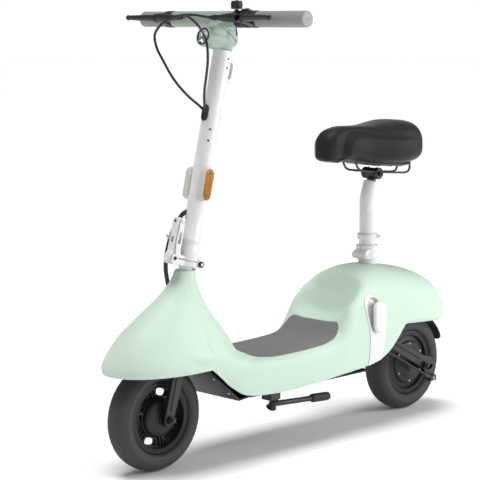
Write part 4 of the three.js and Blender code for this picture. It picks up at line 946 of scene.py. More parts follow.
def set_out(piece, places, finish, size=1.0):
    """Copies of a piece that is drawn round the origin, one for each place: a matrix of position and turn."""
    pattern = bpy.data.objects.new("pattern_piece", piece)
    bpy.context.scene.collection.objects.link(pattern)
    spots = bpy.data.meshes.new("places")
    spots.from_pydata([tuple(place.translation) for place in places], [], [])
    turns = spots.attributes.new("turn", "FLOAT_VECTOR", "POINT")
    turns.data.foreach_set("vector", [value for place in places for value in place.to_euler()])
    item = bpy.data.objects.new("being_set_out", spots)
    bpy.context.scene.collection.objects.link(item)
    modifier = item.modifiers.new("set_out", "NODES")
    modifier.node_group = set_out_pieces
    inputs = {s.name: s.identifier for s in set_out_pieces.interface.items_tree if s.in_out == "INPUT"}
    modifier[inputs["Piece"]] = pattern
    modifier[inputs["Size"]] = size
    modifier[inputs["Finish"]] = finish.material
    bpy.context.view_layer.update()
    made = bpy.data.meshes.new_from_object(item.evaluated_get(bpy.context.evaluated_depsgraph_get()))
    bpy.data.objects.remove(item)
    bpy.data.objects.remove(pattern)
    return made


def aimed(place, way):
    """A place whose own Z looks along a way."""
    return Matrix.Translation(place) @ Vector(way).to_track_quat("Z", "Y").to_matrix().to_4x4()


def aimed_out(x, y, z):
    """Two places, one on each side, that look straight out from the vehicle's middle."""
    return [aimed((x, side * y, z), (0, side, 0)) for side in (-1, 1)]


def screw(radius, height, socket_sides=6):
    """A round-headed screw with a socket in its head, standing on the origin."""
    rim = [(radius * share, height * rise) for share,
           rise in ((0.96, 0), (1, 0.25), (0.97, 0.6), (0.85, 0.9), (0.7, 1))]
    hole = radius * 0.5
    profile = rim + [(hole, height), (hole * 0.9, height * 0.35)]
    return spun(profile, ORIGIN, UP, socket_sides * 4)


moulded_black = Finish("moulded_black", "black_plastic", "141516", 0.5)
moulded_black.uneven(0.07, 220.0)
moulded_black.grained(0.00008, 1300.0, 2.0)
pan_outline = soften(oblong(-212, -96, 230, 96), 14)
pan_ribs = [plate(oblong(x, -70, x + 5, 70), 152.0, 153.5, 0.5, "xyz") for x in range(-170, 200, 34)]
pan_places = [aimed((x, y, 153.2), (0, 0, -1)) for x in (-200, -90, 20, 130, 218) for y in (-86, 86)]
pan = fuse(plate(pan_outline, 153.0, 157.0, 1.0, "xyz"), *pan_ribs)
hang("underside_pan", pan, "frame", moulded_black, "belly_pan")
hang("pan_screws", set_out(screw(4.0, 1.6), pan_places, bright_steel), "frame", bright_steel)
guard_line = [(230.4, 153), (262, 150), (374, 246), (371, 249), (260, 154), (230.4, 157)]
steering_room = spun([(61.5, 60), (61.5, 420)], STEERED.translation, steer_up, 72)
guard = carved(plate(guard_line, -92.0, 92.0, 0.4), steering_room)
hang("wheel_guard", guard, "frame", moulded_black, "front_inner_guard")
guard_places = [aimed((x, side * 84, z), (0.65, 0, -0.76)) for side in (-1, 1) for x,
                z in ((338, 214.5), (288, 171.7))]
hang("guard_screws", set_out(screw(3.6, 2.0), guard_places, bright_steel), "frame", bright_steel)


def arc(centre, radius, start, end, steps=28):
    angles = np.radians(np.linspace(start, end, steps))
    return [(centre[0] + radius * math.cos(a), centre[1] + radius * math.sin(a)) for a in angles]


rear_hub = (axle_rear, axle_height)
fender = plate(arc(rear_hub, 139.9, 24, 127) + arc(rear_hub, 137.1, 127, 24), -56, 56, 0.6)
flap_low, flap_high = 134.6, 137.8
flap_rings = []
for angle, half in [(a, 37.0) for a in range(124, 156, 4)] + [(156, 35.5), (158, 32), (159.3, 27), (160, 20)]:
    turn = math.radians(angle)
    ways = [(axle_rear + r * math.cos(turn), axle_height + r * math.sin(turn)) for r in (flap_low, flap_high)]
    ys = [half * math.sin(t) for t in np.linspace(-math.pi / 2, math.pi / 2, 13)]
    flap_rings.append([(ways[0][0], y, ways[0][1]) for y in ys] + [(ways[1][0], y,
                                                                    ways[1][1]) for y in ys[::-1]])
hang("inner_fender", fuse(fender, lathe_rings(flap_rings, False)), "frame", moulded_black, "rear_fender")

# The kickstand hangs from a bracket under the left side: a welded shoe with two ears, a bright pin, and a
# bent rod whose foot is sleeved in black rubber. It is drawn folded back, as it stands in the picture.
stand_pivot = Vector((138, 84, 121))
stand_axis = Vector((0, 0.454, 0.891)).normalized()
stand_down = stand_axis.cross(Vector((1, 0, 0)))
stand_droop, stand_reach = math.radians(5), 190.0


def on_stand(back, along=0.0):
    """A place on the folded leg: how far behind the pivot, and how far along the pivot's axis."""
    way = Vector((-math.cos(stand_droop), 0, 0)) + stand_down * math.sin(stand_droop)
    return stand_pivot + way * back + stand_axis * along


shoe = plate(soften(oblong(122.4, 64.4, 159.6, 98.6), 5), 133.2, 152.5, 1.2, "xyz")
ears = [
    spun([(11.5, low), (13, low + 1), (13, high - 1), (11.5, high)], stand_pivot, stand_axis, 40)
    for low, high in ((-12.8, -8.4), (8.4, 12.8))
]
ear_top = stand_pivot + stand_axis * 10.6
bracket = cast(1.1, 2, shoe, ears[1], rod(ear_top, ear_top + Vector((0, 0, 16)), 6.0, 0.5))
stand_pin = spun([(3, -14.6), (3.9, -14), (3.9, 14), (3, 14.6)], stand_pivot, stand_axis, 32)
hang("stand_bracket", fuse(bracket, ears[0]), "frame", black_coat, "kickstand_bracket")
hang("stand_pin", stand_pin, "frame", bright_steel)
leg_boss = spun([(4.4, -7.8), (9.2, -7.8), (9.9, -7), (9.9, 7), (9.2, 7.8), (4.4, 7.8)], stand_pivot,
                stand_axis, 48, True)
leg_rod = tube([on_stand(8), on_stand(60), on_stand(stand_reach - 56)], 6.9, 0.4)
foot_sizes = [(128, 7.6), (130, 9.6), (133, 10.6), (138, 10.9), (178, 10.9), (185, 10.4), (188.5, 9),
              (190, 6)]
leg_foot = tube([on_stand(back) for back, _ in foot_sizes], [size for _, size in foot_sizes], 0.0, 36)
stand_grip = Finish("stand_grip", "black_plastic", "161616", 0.62)
stand_grip.grained(0.0001, 900.0)
hang("stand_leg", fuse(leg_boss, leg_rod), "stand", black_coat, "kickstand_leg")
hang("stand_foot", leg_foot, "stand", stand_grip)

# The rear arms are pressed steel plates bolted to the frame inside the hump. The axle's flats sit in their
# ends, and the drum's brake cable ends in an adjuster on the left arm's lug.
arm_in, arm_out = 72.4, 80.2
arm_shape = soften(
    [(-255.4, 253.5), (-272, 219), (-448, 124), (-476, 110), (-501, 121), (-489, 149), (-458, 155)], 13, 6
)
lug_shape = soften([(-496, 128), (-495, 84.5), (-470, 84.5), (-458, 113), (-470, 130)], 5)
rib_shape = soften([(-262, 243), (-267, 233), (-440, 148), (-436, 157)], 4)
axle_hole = spun([(6.4, 60), (6.4, 100)], (axle_rear, 0, axle_height), ACROSS, 32)
for side, made in both_sides:
    pieces = [carved(plate(arm_shape, arm_in, arm_out, 1.6), axle_hole),
              plate(rib_shape, arm_out - 1, arm_out + 2.2, 1.5)]
    pieces += [plate(lug_shape, arm_in, arm_out, 1.2)] if side == "left" else []
    hang(f"{side}_arm", made(fuse(*pieces)), "frame", black_coat, f"{side}_rear_arm")


def nut(across_flats, height, bore):
    """A hexagon nut with a washer face, standing on the origin."""
    reach = across_flats / 2 / math.cos(math.pi / 6)
    ring = [(reach * math.cos(math.tau * i / 6), reach * math.sin(math.tau * i / 6)) for i in range(6)]
    washer = spun(oblong(bore, 0, reach * 1.12, 1.4), ORIGIN, UP, 40, True)
    body = plate(soften(ring, 1.2, 2), 1.4, height, 1.3, "xyz")
    return fuse(washer, carved(body, spun([(bore, -1), (bore, height + 1)], ORIGIN, UP, 32)))


def axle_set(x, z, half):
    """A threaded axle with a nut on each end, half its width inside the nuts."""
    places = aimed_out(x, half + 0.3, z)
    ends = [rod((x, side * (half - 8), z), (x, side * (half + 15), z), 5.6, 1.2) for side in (-1, 1)]
    middle = rod((x, -half, z), (x, half, z), 5.9, 0.2)
    return fuse(middle, *ends, set_out(nut(17.0, 8.8, 5.7), places, dark_alloy))


hang("rear_axle_set", axle_set(axle_rear, axle_height, 80.3), "frame", dark_alloy, "rear_axle")
cable_y = 86.6
rear_cable = flowing([(-262, cable_y, 205), (-330, cable_y, 172), (-400, cable_y, 134), (-452, cable_y, 106)],
                     6.0)
barrel = tube(
    [(-448, cable_y, 108), (-454, cable_y, 104.9), (-455, cable_y, 104.4), (-470, cable_y, 96.3),
     (-478, cable_y, 92)],
    [4.6, 5.9, 5.2, 5.9, 5.9],
    0.5,
)
stop = cast(0.9, 2, plate(oblong(-495.5, 84.4, -470.5, 99.6), 81, 93.2, 1.0))
rear_cable_piece = fuse(tube(rear_cable, 3.4, 0, 20), barrel, stop)
hang("rear_cable_adjuster", rear_cable_piece, "frame", black_coat, "rear_brake_cable")
stop_places = [aimed((-483, cable_y + 6.6, 92), ACROSS)]
hang("cable_stop_screw", set_out(screw(3.6, 1.6), stop_places, bright_steel), "frame", bright_steel)

# The tyres are black rubber, nearly slick, with shallow grooves round the tread. The front rim is cast alloy
# with six framed windows round a domed brake drum; the rear one holds the hub motor.
tyre_side = [(82.2, 19.6), (87.7, 19.9), (88.2, 24.6), (90.5, 28.6), (94, 31.4), (98, 33.2), (102.7, 33.8)]
tyre_side += [(107.5, 33.5), (109, 33.9), (110.2, 33.1), (114, 31.6), (118.5, 29.2), (122.2, 25.4),
              (125.2, 21)]
tread = [(126.6, 18.2), (125.7, 17.4), (126.9, 16.6), (128.3, 11.5), (127.4, 10.6), (128.6, 9.8),
         (129.4, 4.6)]
tread += [(128.5, 3.8), (129.5, 3.0), (129.5, 0)]
half_tyre = tyre_side + tread
tyre_profile = [(r, -a) for r, a in half_tyre] + [(r, a) for r, a in half_tyre[-2::-1]]
rubber = Finish("tyre_rubber", "tyre_rubber", "333435", 0.7)
rubber.uneven(0.08, 120.0)
rubber.grained(0.00022, 500.0, 3.0)


def both_ways(bore, reach, side):
    """A turned profile that is alike on both sides of its middle, from one end of its bore to the other."""
    return [(bore, -reach)] + [(r, -a) for r, a in side] + [(r, a) for r, a in side[-2::-1]] + [(bore, reach)]


def stem_valve(angle, hub):
    """The tyre's valve, sticking in from the rim on the left."""
    way = Vector((math.cos(angle), 0, math.sin(angle)))
    side = Vector((0, 15, 0))
    return tube([hub + way * 76 + side, hub + way * 68 + side * 1.15, hub + way * 58 + side * 1.5],
                [3.2, 2.9, 2.6], 0.4, 16)


def rim_barrel(bore, flange=86.8, half=24.8):
    """The rim: two lips with rounded edges and the seat of the tyre between them."""
    lip = [(bore, half - 1.5), (bore + 1.2, half), (flange - 1.8, half), (flange, half - 1.2),
           (flange, half - 4.2)]
    edge = [(bore + 3.6, half - 0.2), (bore + 4.4, half - 1.4), (bore + 5.2, half - 0.2)]
    lip = lip[:2] + edge + lip[2:] + [(81.2, 19.6)]
    return spun([(r, -a) for r, a in lip[::-1]] + lip, hub_front * 0, ACROSS, 96, True)


hub_front = Vector((axle_front, 0, axle_height))
hub_rear = Vector((axle_rear, 0, axle_height))
for name, hub, body, solid in (
    ("front_tyre_casing", hub_front, "front_wheel", "front_tyre"),
    ("rear_tyre_casing", hub_rear, "rear_wheel", "rear_tyre"),
):
    hang(name, spun(tyre_profile, hub, ACROSS, 144, True), body, rubber, solid)


def polar(points):
    """Points given as radius and degrees, in a wheel's plane."""
    return [(r * math.cos(math.radians(a)), r * math.sin(math.radians(a))) for r, a in points]


def arc_band(inner, outer, start, end, steps=8):
    angles = np.linspace(start, end, steps)
    return polar([(outer, a) for a in angles]) + polar([(inner, a) for a in angles[::-1]])


window = soften(polar([(69, a) for a in (-17, -8, 0, 8, 17)] + [(56, 19), (51.5, 9), (51.5, -9), (56, -19)]),
                4, 3)
frame_outer = rings_over(window, [(0, -3.2)])[0]
window_tool = plate(window, -30, 30, 0.1)
web = spun(oblong(44, -4.4, 76.5, 4.4), ORIGIN, ACROSS, 96, True)
sixths = [Matrix.Rotation(math.radians(60 * i), 4, "Y") for i in range(6)]
web = carved(web, set_out(window_tool, sixths, dark_alloy))
frame_ring = carved(plate([(a, b) for a, b, _ in frame_outer], -7.4, 7.4, 1.0), window_tool)
spoke_rib = plate(arc_band(49, 73, -1.6, 1.6, 3), -11.5, 11.5, 1.0)
outer_rib = plate(arc_band(70.4, 72.6, -22, 22), -12, 12, 0.8)
between = [Matrix.Rotation(math.radians(60 * i + 30 + shift), 4, "Y") for i in range(6) for shift in (-4.2,
                                                                                                      4.2)]
drum_side = [(15.5, 41.8), (16.2, 41), (16.2, 34.2), (19.5, 32.6), (21, 33.4), (22.4, 32.8), (30, 31.4),
             (38, 28.8)]
drum_side += [(43.5, 25.4), (46, 21.4), (46.8, 17), (46.8, 12), (48.6, 11), (48.6, 0)]
drum = spun(both_ways(6.6, 42.2, drum_side), ORIGIN, ACROSS, 96, True)
front_rim = fuse(
    rim_barrel(73.6),
    web,
    set_out(frame_ring, sixths, dark_alloy),
    set_out(outer_rib, sixths, dark_alloy),
    set_out(spoke_rib, between, dark_alloy),
    drum,
    stem_valve(math.radians(30), Vector(ORIGIN)),
)
front_rim.transform(Matrix.Translation(hub_front) @ Matrix.Rotation(math.radians(12), 4, "Y"))
hang("front_rim_casting", front_rim, "front_wheel", dark_alloy, "front_rim")

motor_side = [(13, 71.6), (13, 36.5), (16, 35.2), (22, 34.6), (24, 32.4), (26.5, 32), (44, 29.6),
              (45.5, 28.4)]
motor_side += [(47, 28.6), (55.5, 26.8), (58.2, 24.4), (59.4, 20.6), (66, 18.6), (72.5, 17.6), (74.8, 16.4),
               (74.8, 0)]
motor = spun(both_ways(6.6, 71.6, motor_side), ORIGIN, ACROSS, 96, True)
cover_rib = plate(arc_band(28, 43, -1.7, 1.7, 3), -31.6, 31.6, 1.2)
rear_rim = fuse(rim_barrel(73.6), motor, set_out(cover_rib, sixths, dark_alloy))
rear_rim.transform(Matrix.Translation(hub_rear))
hang("motor_rim_casting", rear_rim, "rear_wheel", dark_alloy, "rear_motor_rim")
cover_turns = [math.radians(60 * i + 30) for i in range(6)]
cover_places = [
    aimed(hub_rear + Vector((51.5 * math.cos(a), side * 27.6, 51.5 * math.sin(a))), (0, side, 0))
    for a in cover_turns
    for side in (-1, 1)
]
hang("motor_cover_screws", set_out(screw(3.2, 1.8), cover_places, bright_steel), "rear_wheel", bright_steel)

# The fork: two flat black legs welded to a crown under the steering head, with the front axle's nuts outside
# them. The brake drum's arm and the end of its cable, which sit on the left leg, are not drawn.
leg_shape = soften([(-8, 303.6), (24, 303.6), (33, 252), (36, 140), (35, 122), (28, 110), (14, 110),
                    (7.5, 122), (7, 140), (-4, 248)], 9, 5)


def along_steering(mesh):
    mesh.transform(STEERED)
    return mesh


def hang_steered(name, mesh, *rest):
    """Hangs a piece that is drawn along the steering axis."""
    return hang(name, along_steering(mesh), *rest)


front_hole = spun([(6.4, 30), (6.4, 70)], (21, 0, 128.14), ACROSS, 32)
leg = carved(plate(leg_shape, 43.2, 55.8, 2.4), front_hole)
leg_rib = plate(soften([(9, 290), (16, 290), (23.5, 240), (24.5, 150), (18.5, 150), (15.5, 240)], 3), 54,
                57.8, 1.4)
crown = plate(soften(oblong(-18, -55, 26, 55), 9), 282.3, 303.8, 3.0, "xyz")
race = spun([(19, 303), (19.4, 306), (19.4, 327), (18.6, 329.4)], ORIGIN, UP, 56)
steerer = rod((0, 0, 284), (0, 0, 493.8), 14.2, 0.8, 48)
fork_set = along_steering(fuse(leg, mirrored(leg), leg_rib, mirrored(leg_rib), crown, race, steerer))
hang("fork_weldment", fork_set, "steering", black_coat, "fork")
front_axle = axle_set(21, 128.14, 56.0)
hang_steered("front_axle_set", front_axle, "steering", dark_alloy, "front_axle")

# The folding foot of the stem: a white cast base clamped on the steerer, with two ears and a catch pin in
# front and knuckles behind. The foot swings back about a black hinge pin. A white latch holds the two
# together.
hinge_back, hinge_height = -27.0, 500.0
base_low, base_top, foot_low, foot_radius = 490.0, 503.4, 504.4, 26.0
catch_ahead, catch_height = 56.0, 505.0
knuckle, knuckle_half, knuckle_room = 9.8, 13.6, 10.7


def crossbar(ahead, height, radius, low, high, edge=0.8, sides=40):
    """A round bar across the vehicle, by its place along it, its height and its two ends."""
    return rod((ahead, low, height), (ahead, high, height), radius, edge, sides)


ear_outline = soften([(8, 490), (57, 490), (63, 497), (62.5, 511), (53, 514), (46, 508), (40, 503.4),
                      (8, 503.4)], 5)
base_collar = spun([(16.8, 474.6), (17.5, 475.4), (17.5, 489), (19, 491)], ORIGIN, UP, 64)
base_disc = spun([(24.6, 490), (26, 491.2), (26, 502.4), (25.2, base_top)], ORIGIN, UP, 88)
base_nose = plate(soften(oblong(0, -15.6, 48, 15.6), 3), base_low, base_top, 1.2, "xyz")
base_ears = [plate(ear_outline, low, low + 4.6, 1.2) for low in (-15.6, 11)]
base_knuckles = [crossbar(hinge_back, hinge_height, knuckle, low, low + 5.8) for low in (-19.8, 14)]
base_bridge = plate(oblong(hinge_back, -19.8, -8, 19.8), base_low, 499, 1.2, "xyz")
slot_round = crossbar(hinge_back, hinge_height, knuckle_room, -14, 14, 0.1)
slot_room = plate(oblong(-60, -14, hinge_back, 14), 470, 520, 0.1, "xyz")
latch_room = plate(oblong(46, -11, 90, 11), 470, 530, 0.1, "xyz")
base = cast(1.2, 3, base_collar, base_disc, base_nose, *base_ears, *base_knuckles, base_bridge)
bolt_recess = spun([(11, 498), (11, 510)], ORIGIN, UP, 48)
base = carved(base, slot_round, slot_room, latch_room, bolt_recess)
base = fuse(base, crossbar(catch_ahead, catch_height, 4.9, -15.2, 15.2))
hang_steered("hinge_base_casting", base, "steering", white_gloss, "hinge_base")
hinge_bolts = [aimed((0, 0, 498), UP)]
hinge_bolts += aimed_out(54, 15.4, 504)
hang_steered("base_bolts", set_out(screw(4.6, 2.6), hinge_bolts, black_coat), "steering", black_coat)
pin_end = [(3.6, -26.0), (6.6, -26.2), (7.5, -25.4), (7.5, -20.8), (5, -20.4)]
hinge_pin = spun(pin_end + [(r, -a) for r, a in pin_end[::-1]], (hinge_back, 0, hinge_height), ACROSS, 44)
hang_steered("hinge_pin_bolt", hinge_pin, "steering", black_coat, "hinge_pin")
pin_nuts = aimed_out(hinge_back, 25.8, hinge_height)
pin_faces = plate(soften([(4 * math.cos(a), 4 * math.sin(a)) for a in np.radians(range(0, 360, 60))], 0.6, 2),
                  0, 0.6, 0.2, "xyz")
hang_steered("hinge_pin_hex", set_out(pin_faces, pin_nuts, bright_steel), "steering", bright_steel)

foot_turn = [(15, 509), (15, foot_low), (25.2, foot_low), (foot_radius, 505.4), (foot_radius, 527),
             (25.7, 530)]
foot_turn += [(24.8, 534), (23.6, 538), (22.9, 541.5), (22.7, 545), (22.7, 549)]
foot_body = spun(foot_turn, ORIGIN, UP, 96)
foot_web = plate(oblong(hinge_back, -13.5, 0, 13.5), foot_low, 512, 1.0, "xyz")
foot_knuckle = crossbar(hinge_back, hinge_height, knuckle, -knuckle_half, knuckle_half)
knuckle_rooms = [crossbar(hinge_back, hinge_height, knuckle_room, low, low + 20, 0.1) for low in (-33.7,
                                                                                                  13.7)]
foot_body = fuse(foot_body, carved(foot_web, *knuckle_rooms), foot_knuckle)
cheek_outline = soften([(17, 515), (53, 515), (55, 545), (53, 588), (50, 599), (44, 602), (38, 598),
                        (20, 580)], 5)
cheek_window = plate(soften([(42.5, 539), (52.5, 539), (50.5, 567), (44.5, 567)], 2.5), -20, 20, 0.1)
near_cheek = soften([(17, 506), (50, 506), (54, 515), (55.5, 545), (53.5, 588), (50, 599), (44, 602),
                     (39, 597), (39, 520), (36, 514), (17, 514)], 3)
cheeks = [carved(plate(line, low, low + 3.2, 1.0), cheek_window) for line,
          low in ((cheek_outline, -14.6), (near_cheek, 11.4))]
foot_body = fuse(foot_body, *cheeks)
latch_pivot = (45.0, 591.0)
hang_steered("stem_foot_casting", foot_body, "stem", white_gloss, "stem_foot")
pivot_places = aimed_out(latch_pivot[0], 14.4, latch_pivot[1])
pivot_screws = fuse(
    set_out(screw(4.4, 1.9), pivot_places, bright_steel), crossbar(*latch_pivot, 3.4, -14.8, 14.8)
)
hang_steered("latch_pivot_screws", pivot_screws, "stem", bright_steel)

latch_blade = soften([(41, 600), (50, 601), (54, 592), (54.5, 556), (56, 515), (45.6, 515), (45, 540),
                      (40, 588)], 4)
latch_face = soften([(51, 602), (54.5, 601), (58, 592), (58.6, 556), (60, 514), (55, 514), (54, 556),
                     (53.6, 590)], 1.6)
latch_hook = soften([(54, 521), (62, 520), (67, 512), (67, 493.4), (61.6, 494), (61.4, 510.7), (54, 510.7)],
                    2.4)
latch = cast(
    0.9,
    2,
    plate(latch_blade, -9.6, 9.6, 1.0),
    plate(latch_face, -10.4, 10.4, 1.4),
    plate(latch_hook, -8.6, 8.6, 1.8),
)
pivot_room = crossbar(*latch_pivot, 4.0, -20, 20, 0.1)
latch = carved(latch, plate(stadium(0, 548, 7.6, 15.5), 53, 80, 0.1, "yzx"), pivot_room, cheek_window)
latch_knob = spun([(3.2, -9), (3.2, -11.5), (5.4, -11.8), (6.0, -12.8), (6.0, -17.4), (5.2, -18.2)],
                  (57, 0, 553), ACROSS, 36)
hang_steered("latch_blade", latch, "latch", white_gloss, "fold_latch")
hang_steered("latch_knob", latch_knob, "latch", bright_steel)
latch_marks = [aimed((58.4, 0, 592), (1, 0, 0)), aimed((53.2, 0, 544.5), (1, 0, 0)),
               aimed((53.2, 0, 551.5), (1, 0, 0))]
latch_screws = along_steering(set_out(screw(3.4, 1.4), latch_marks, black_coat))
hang("latch_face_screws", latch_screws, "latch", black_coat)

# The stem: a round steel tube, painted white, with a rolled lip at its foot. It carries a black rubber
# grommet where the cables go in, a pressed bag hook behind, small screws, and amber reflectors in grey pill-
# shaped housings.
stem_radius, stem_top = 22.5, 1012.6
stem_turn = [(22.4, 548.6), (23.4, 549), (23.9, 550.4), (23.9, 554), (23.2, 556.4), (stem_radius, 557.6)]
stem_turn += [(stem_radius, 620), (stem_radius, 700), (stem_radius, 900), (stem_radius, stem_top)]
hang_steered("stem_tube_body", spun(stem_turn, ORIGIN, UP, 112), "stem", white_gloss, "stem_tube")
grommet_height = 858.0
grommet_lip = plate(stadium(0, grommet_height, 19.5, 39.5), 18, 25.6, 2.2, "yzx")
grommet_dish = plate(stadium(0, grommet_height, 11, 29), 23.9, 40, 0.6, "yzx")
grommet = carved(grommet_lip, grommet_dish)
rubber_black = Finish("rubber_black", "black_plastic", "1d1d1e", 0.66)
rubber_black.grained(0.00008, 1000.0)
hang_steered("grommet_seal", grommet, "stem", rubber_black, "cable_grommet")
hook_outline = soften([(-20, 1001), (-37, 1001), (-44, 995), (-46, 984), (-45, 949), (-38, 937), (-20, 941)],
                      5)
hook_opening = soften([(-25, 990), (-36, 992), (-39, 984), (-38, 955), (-33, 948), (-25, 954)], 3)
bag_hook = carved(plate(hook_outline, -5, 5, 1.6), plate(hook_opening, -9, 9, 0.1))
hang_steered("bag_hook_pressing", bag_hook, "stem", white_gloss, "bag_hook")
hook_rivet = spun([(2.6, -6.6), (3.8, -6), (3.8, 6), (2.6, 6.6)], (-34.4, 0, 945.6), ACROSS, 28)
hang_steered("hook_rivet", hook_rivet, "stem", bright_steel)
stem_screws = []
for turn, height in ((96, 994), (97, 972), (52, 820), (52, 793)):
    way = Vector((math.cos(math.radians(turn)), math.sin(math.radians(turn)), 0))
    stem_screws.append(aimed(way * (stem_radius - 0.2) + Vector((0, 0, height)), way))
hang_steered("stem_screws", set_out(screw(2.7, 1.0), stem_screws, black_coat), "stem", black_coat)
reflector_at = (5.0, 689.0)
reflector_shell = Finish("reflector_shell", "amber_plastic", "c2c0b8", 0.4)
reflector_shell.grained(0.00005, 700.0)
amber = Finish("amber_lens", "amber_plastic", "cc880c", 0.22, Specular_IOR_Level=0.25, Coat_Weight=0.15,
               Coat_Roughness=0.08)
amber_x, _, amber_z = amber.axes()
prism = amber_x.ripple(1500.0)
prism_up = amber_z.ripple(1500.0)
amber.relief(prism + prism_up, 0.0006)
# The darker amber over a grid of cells is painted shade, for the prism facets that turn the light away; the
# relief gives the cells their real shape.
amber.shade((prism * prism_up).between(-0.4, 0.8), "7a4804")
shell = plate(stadium(*reflector_at, 32.0, 80.0), 14, 30.4, 2.0)
rim_wall = carved(plate(stadium(*reflector_at, 30.4, 78.4), 28, 34.0, 1.0),
                  plate(stadium(*reflector_at, 26.6, 74.6), 30, 50, 0.2))
lens = plate(stadium(*reflector_at, 26.2, 74.2), 29, 34.6, 2.2)
lens_places = [aimed((reflector_at[0], 34.5, reflector_at[1] + rise), ACROSS) for rise in (-27, 27)]
lens_screws = set_out(screw(2.6, 0.6), lens_places, dark_alloy)
for side, made in both_sides:
    hang_steered(f"{side}_reflector_shell", made(fuse(shell, rim_wall)), "stem", reflector_shell,
                 f"{side}_reflector")
    hang_steered(f"{side}_reflector_lens", made(lens), "stem", amber)
    hang_steered(f"{side}_reflector_screws", made(lens_screws), "stem", dark_alloy)

# The head is a mint casting: neck, lamp barrel and bar sleeve run into one another. A seam slants down each
# side below the display, which is a dark panel let into the slope that faces the rider. The lamp is a clear
# lens in front.
bar_at = (17.5, 1085.5)
lamp_height, lamp_room, lamp_ring = 1032.0, 20.3, 19.9
head_outline = soften(
    [(-16, 1024), (20, 1020), (36, 1012), (58, 1011), (66, 1034), (58, 1058), (36, 1074), (31, 1092),
     (2, 1103),
     (-5.6, 1101), (-32, 1044), (-29, 1034), (-22, 1028)],
    6,
)
neck = rod((0, 0, 1013.6), (0, 0, 1062), 22.9, 1.0, 72)
lamp_barrel = rod((0, 0, lamp_height), (70.6, 0, lamp_height), 23.0, 1.6, 72)
lamp_barrel.transform(Matrix.Translation((0, -1.0, 0)))
sleeve = crossbar(*bar_at, 19.5, -167.4, 53.8, 1.6, 72)
head = cast(1.7, 8, neck, lamp_barrel, plate(head_outline, -23.6, 18.6, 4.0), sleeve)
bar_bore = crossbar(*bar_at, 11.4, -220, 220, 0.1)
lamp_hole = rod((57, 0, lamp_height), (96, 0, lamp_height), lamp_room, 0.1, 64)
neck_trim = plate(oblong(-60, -60, 90, 60), 990, 1008.6, 0.1, "xyz")
face_up = Vector((26, 0, 58)).normalized()
face_out = Vector((-face_up.z, 0, face_up.x))
face_at = Vector((-17, 0, 1070))


def on_face(outline, low, high, edge):
    """A plate on the display's slope: its outline lies across and up the slope."""
    drawn = plate(outline, low, high, edge, "yzx")
    turned = Matrix.Identity(4)
    for row in range(3):
        turned[row] = (face_out[row], ACROSS[row], face_up[row], face_at[row])
    drawn.transform(turned)
    return outward(drawn)


def panel_outline(half, rise, radius=3.0):
    return soften(oblong(-half, -rise, half, rise), radius)


head = carved(head, bar_bore, lamp_hole, on_face(panel_outline(20.3, 16.3), -4.4, 20, 0.1), neck_trim)
seam_start, seam_end = Vector((41.0, 1070.0)), Vector((-40.0, 1031.5))
seam_way = (seam_end - seam_start).normalized()
seam_side = Vector((-seam_way.y, seam_way.x)) * 0.9
seam_strip = [tuple(p) for p in (seam_start + seam_side, seam_end + seam_side, seam_end - seam_side,
                                 seam_start - seam_side)]
head = carved(head, plate(seam_strip, 15.4, 40, 0.05), plate(seam_strip, -40, -20.4, 0.05))
# The head's mint is a darker copy of the body's mint plastic: painted shade, for the shade that falls on the head
# under the bar.
head_mint_painted_shade = Finish("head_mint_painted_shade", "mint_plastic", "93a497", 0.42, Specular_IOR_Level=0.4)
head_mint_painted_shade.uneven(0.04, 40.0, 3.0)
head_mint_painted_shade.grained(0.00002, 900.0, 2.0, strength=0.6)
hang_steered("bar_head_casting", head, "stem", head_mint_painted_shade, "bar_head")
panel_black = Finish("panel_black", "black_plastic", "0c0d0e", 0.09, Coat_Weight=0.6, Coat_Roughness=0.03)
panel_black.uneven(0.02, 30.0)
moulded = fuse(
    carved(on_face(panel_outline(20.0, 16.0), -4.0, 0.0, 0.8),
           on_face(panel_outline(17.4, 13.2, 2), -0.9, 4, 0.1)),
    on_face(soften(oblong(-12, -20, 12, -14), 2), -4.2, -1.8, 0.8),
)
hang_steered("display_frame", moulded, "stem", moulded_black, "display")
hang_steered("display_glass", on_face(panel_outline(17.2, 13.0, 2), -2.2, -0.3, 0.3), "stem", panel_black)
lamp_chrome = Finish("lamp_chrome", "clear_plastic", "e3e5e8", 0.12, Metallic=0.9)
lamp_chrome.uneven(0.04, 60.0)
lamp_clear = Finish("lamp_clear", "clear_plastic", "f6f8f9", 0.04, Transmission_Weight=1.0, IOR=1.25)
lamp_clear.uneven(0.02, 90.0)
lamp_led = Finish("lamp_led", "clear_plastic", "f3f1e2", 0.3)
lamp_led.grained(0.0001, 800.0)
ring_turn = [(16.2, 58.6), (lamp_ring, 58.6), (lamp_ring, 69.6), (19.2, 71), (17.2, 71), (16.2, 69.8)]
lamp_axis = ((0, 0, lamp_height), (1, 0, 0), 72)
hang_steered("headlight_bezel", spun(ring_turn, *lamp_axis, True), "stem", panel_black, "headlight")
bowl_turn = [(16.1, 68.2), (15.3, 68.0), (13.8, 65.2), (10.6, 62.2), (6.4, 60.4), (2.0, 60.0), (2.0, 58.8),
             (16.1, 58.8)]
hang_steered("headlight_bowl", spun(bowl_turn, *lamp_axis, True), "stem", lamp_chrome)
led_turn = [(4.6, 60.0), (4.6, 62.4), (3.6, 63.8), (1.2, 64.4)]
hang_steered("headlight_led", spun(led_turn, *lamp_axis), "stem", lamp_led)
lens_turn = [(16.0, 68.3), (16.0, 69.2), (12, 69.9), (6, 70.4), (1.0, 70.5)]
lens_turn += [(1.0, 69.4), (6, 69.2), (12, 68.8)]
hang_steered("headlight_lens", spun(lens_turn, *lamp_axis, True), "stem", lamp_clear)

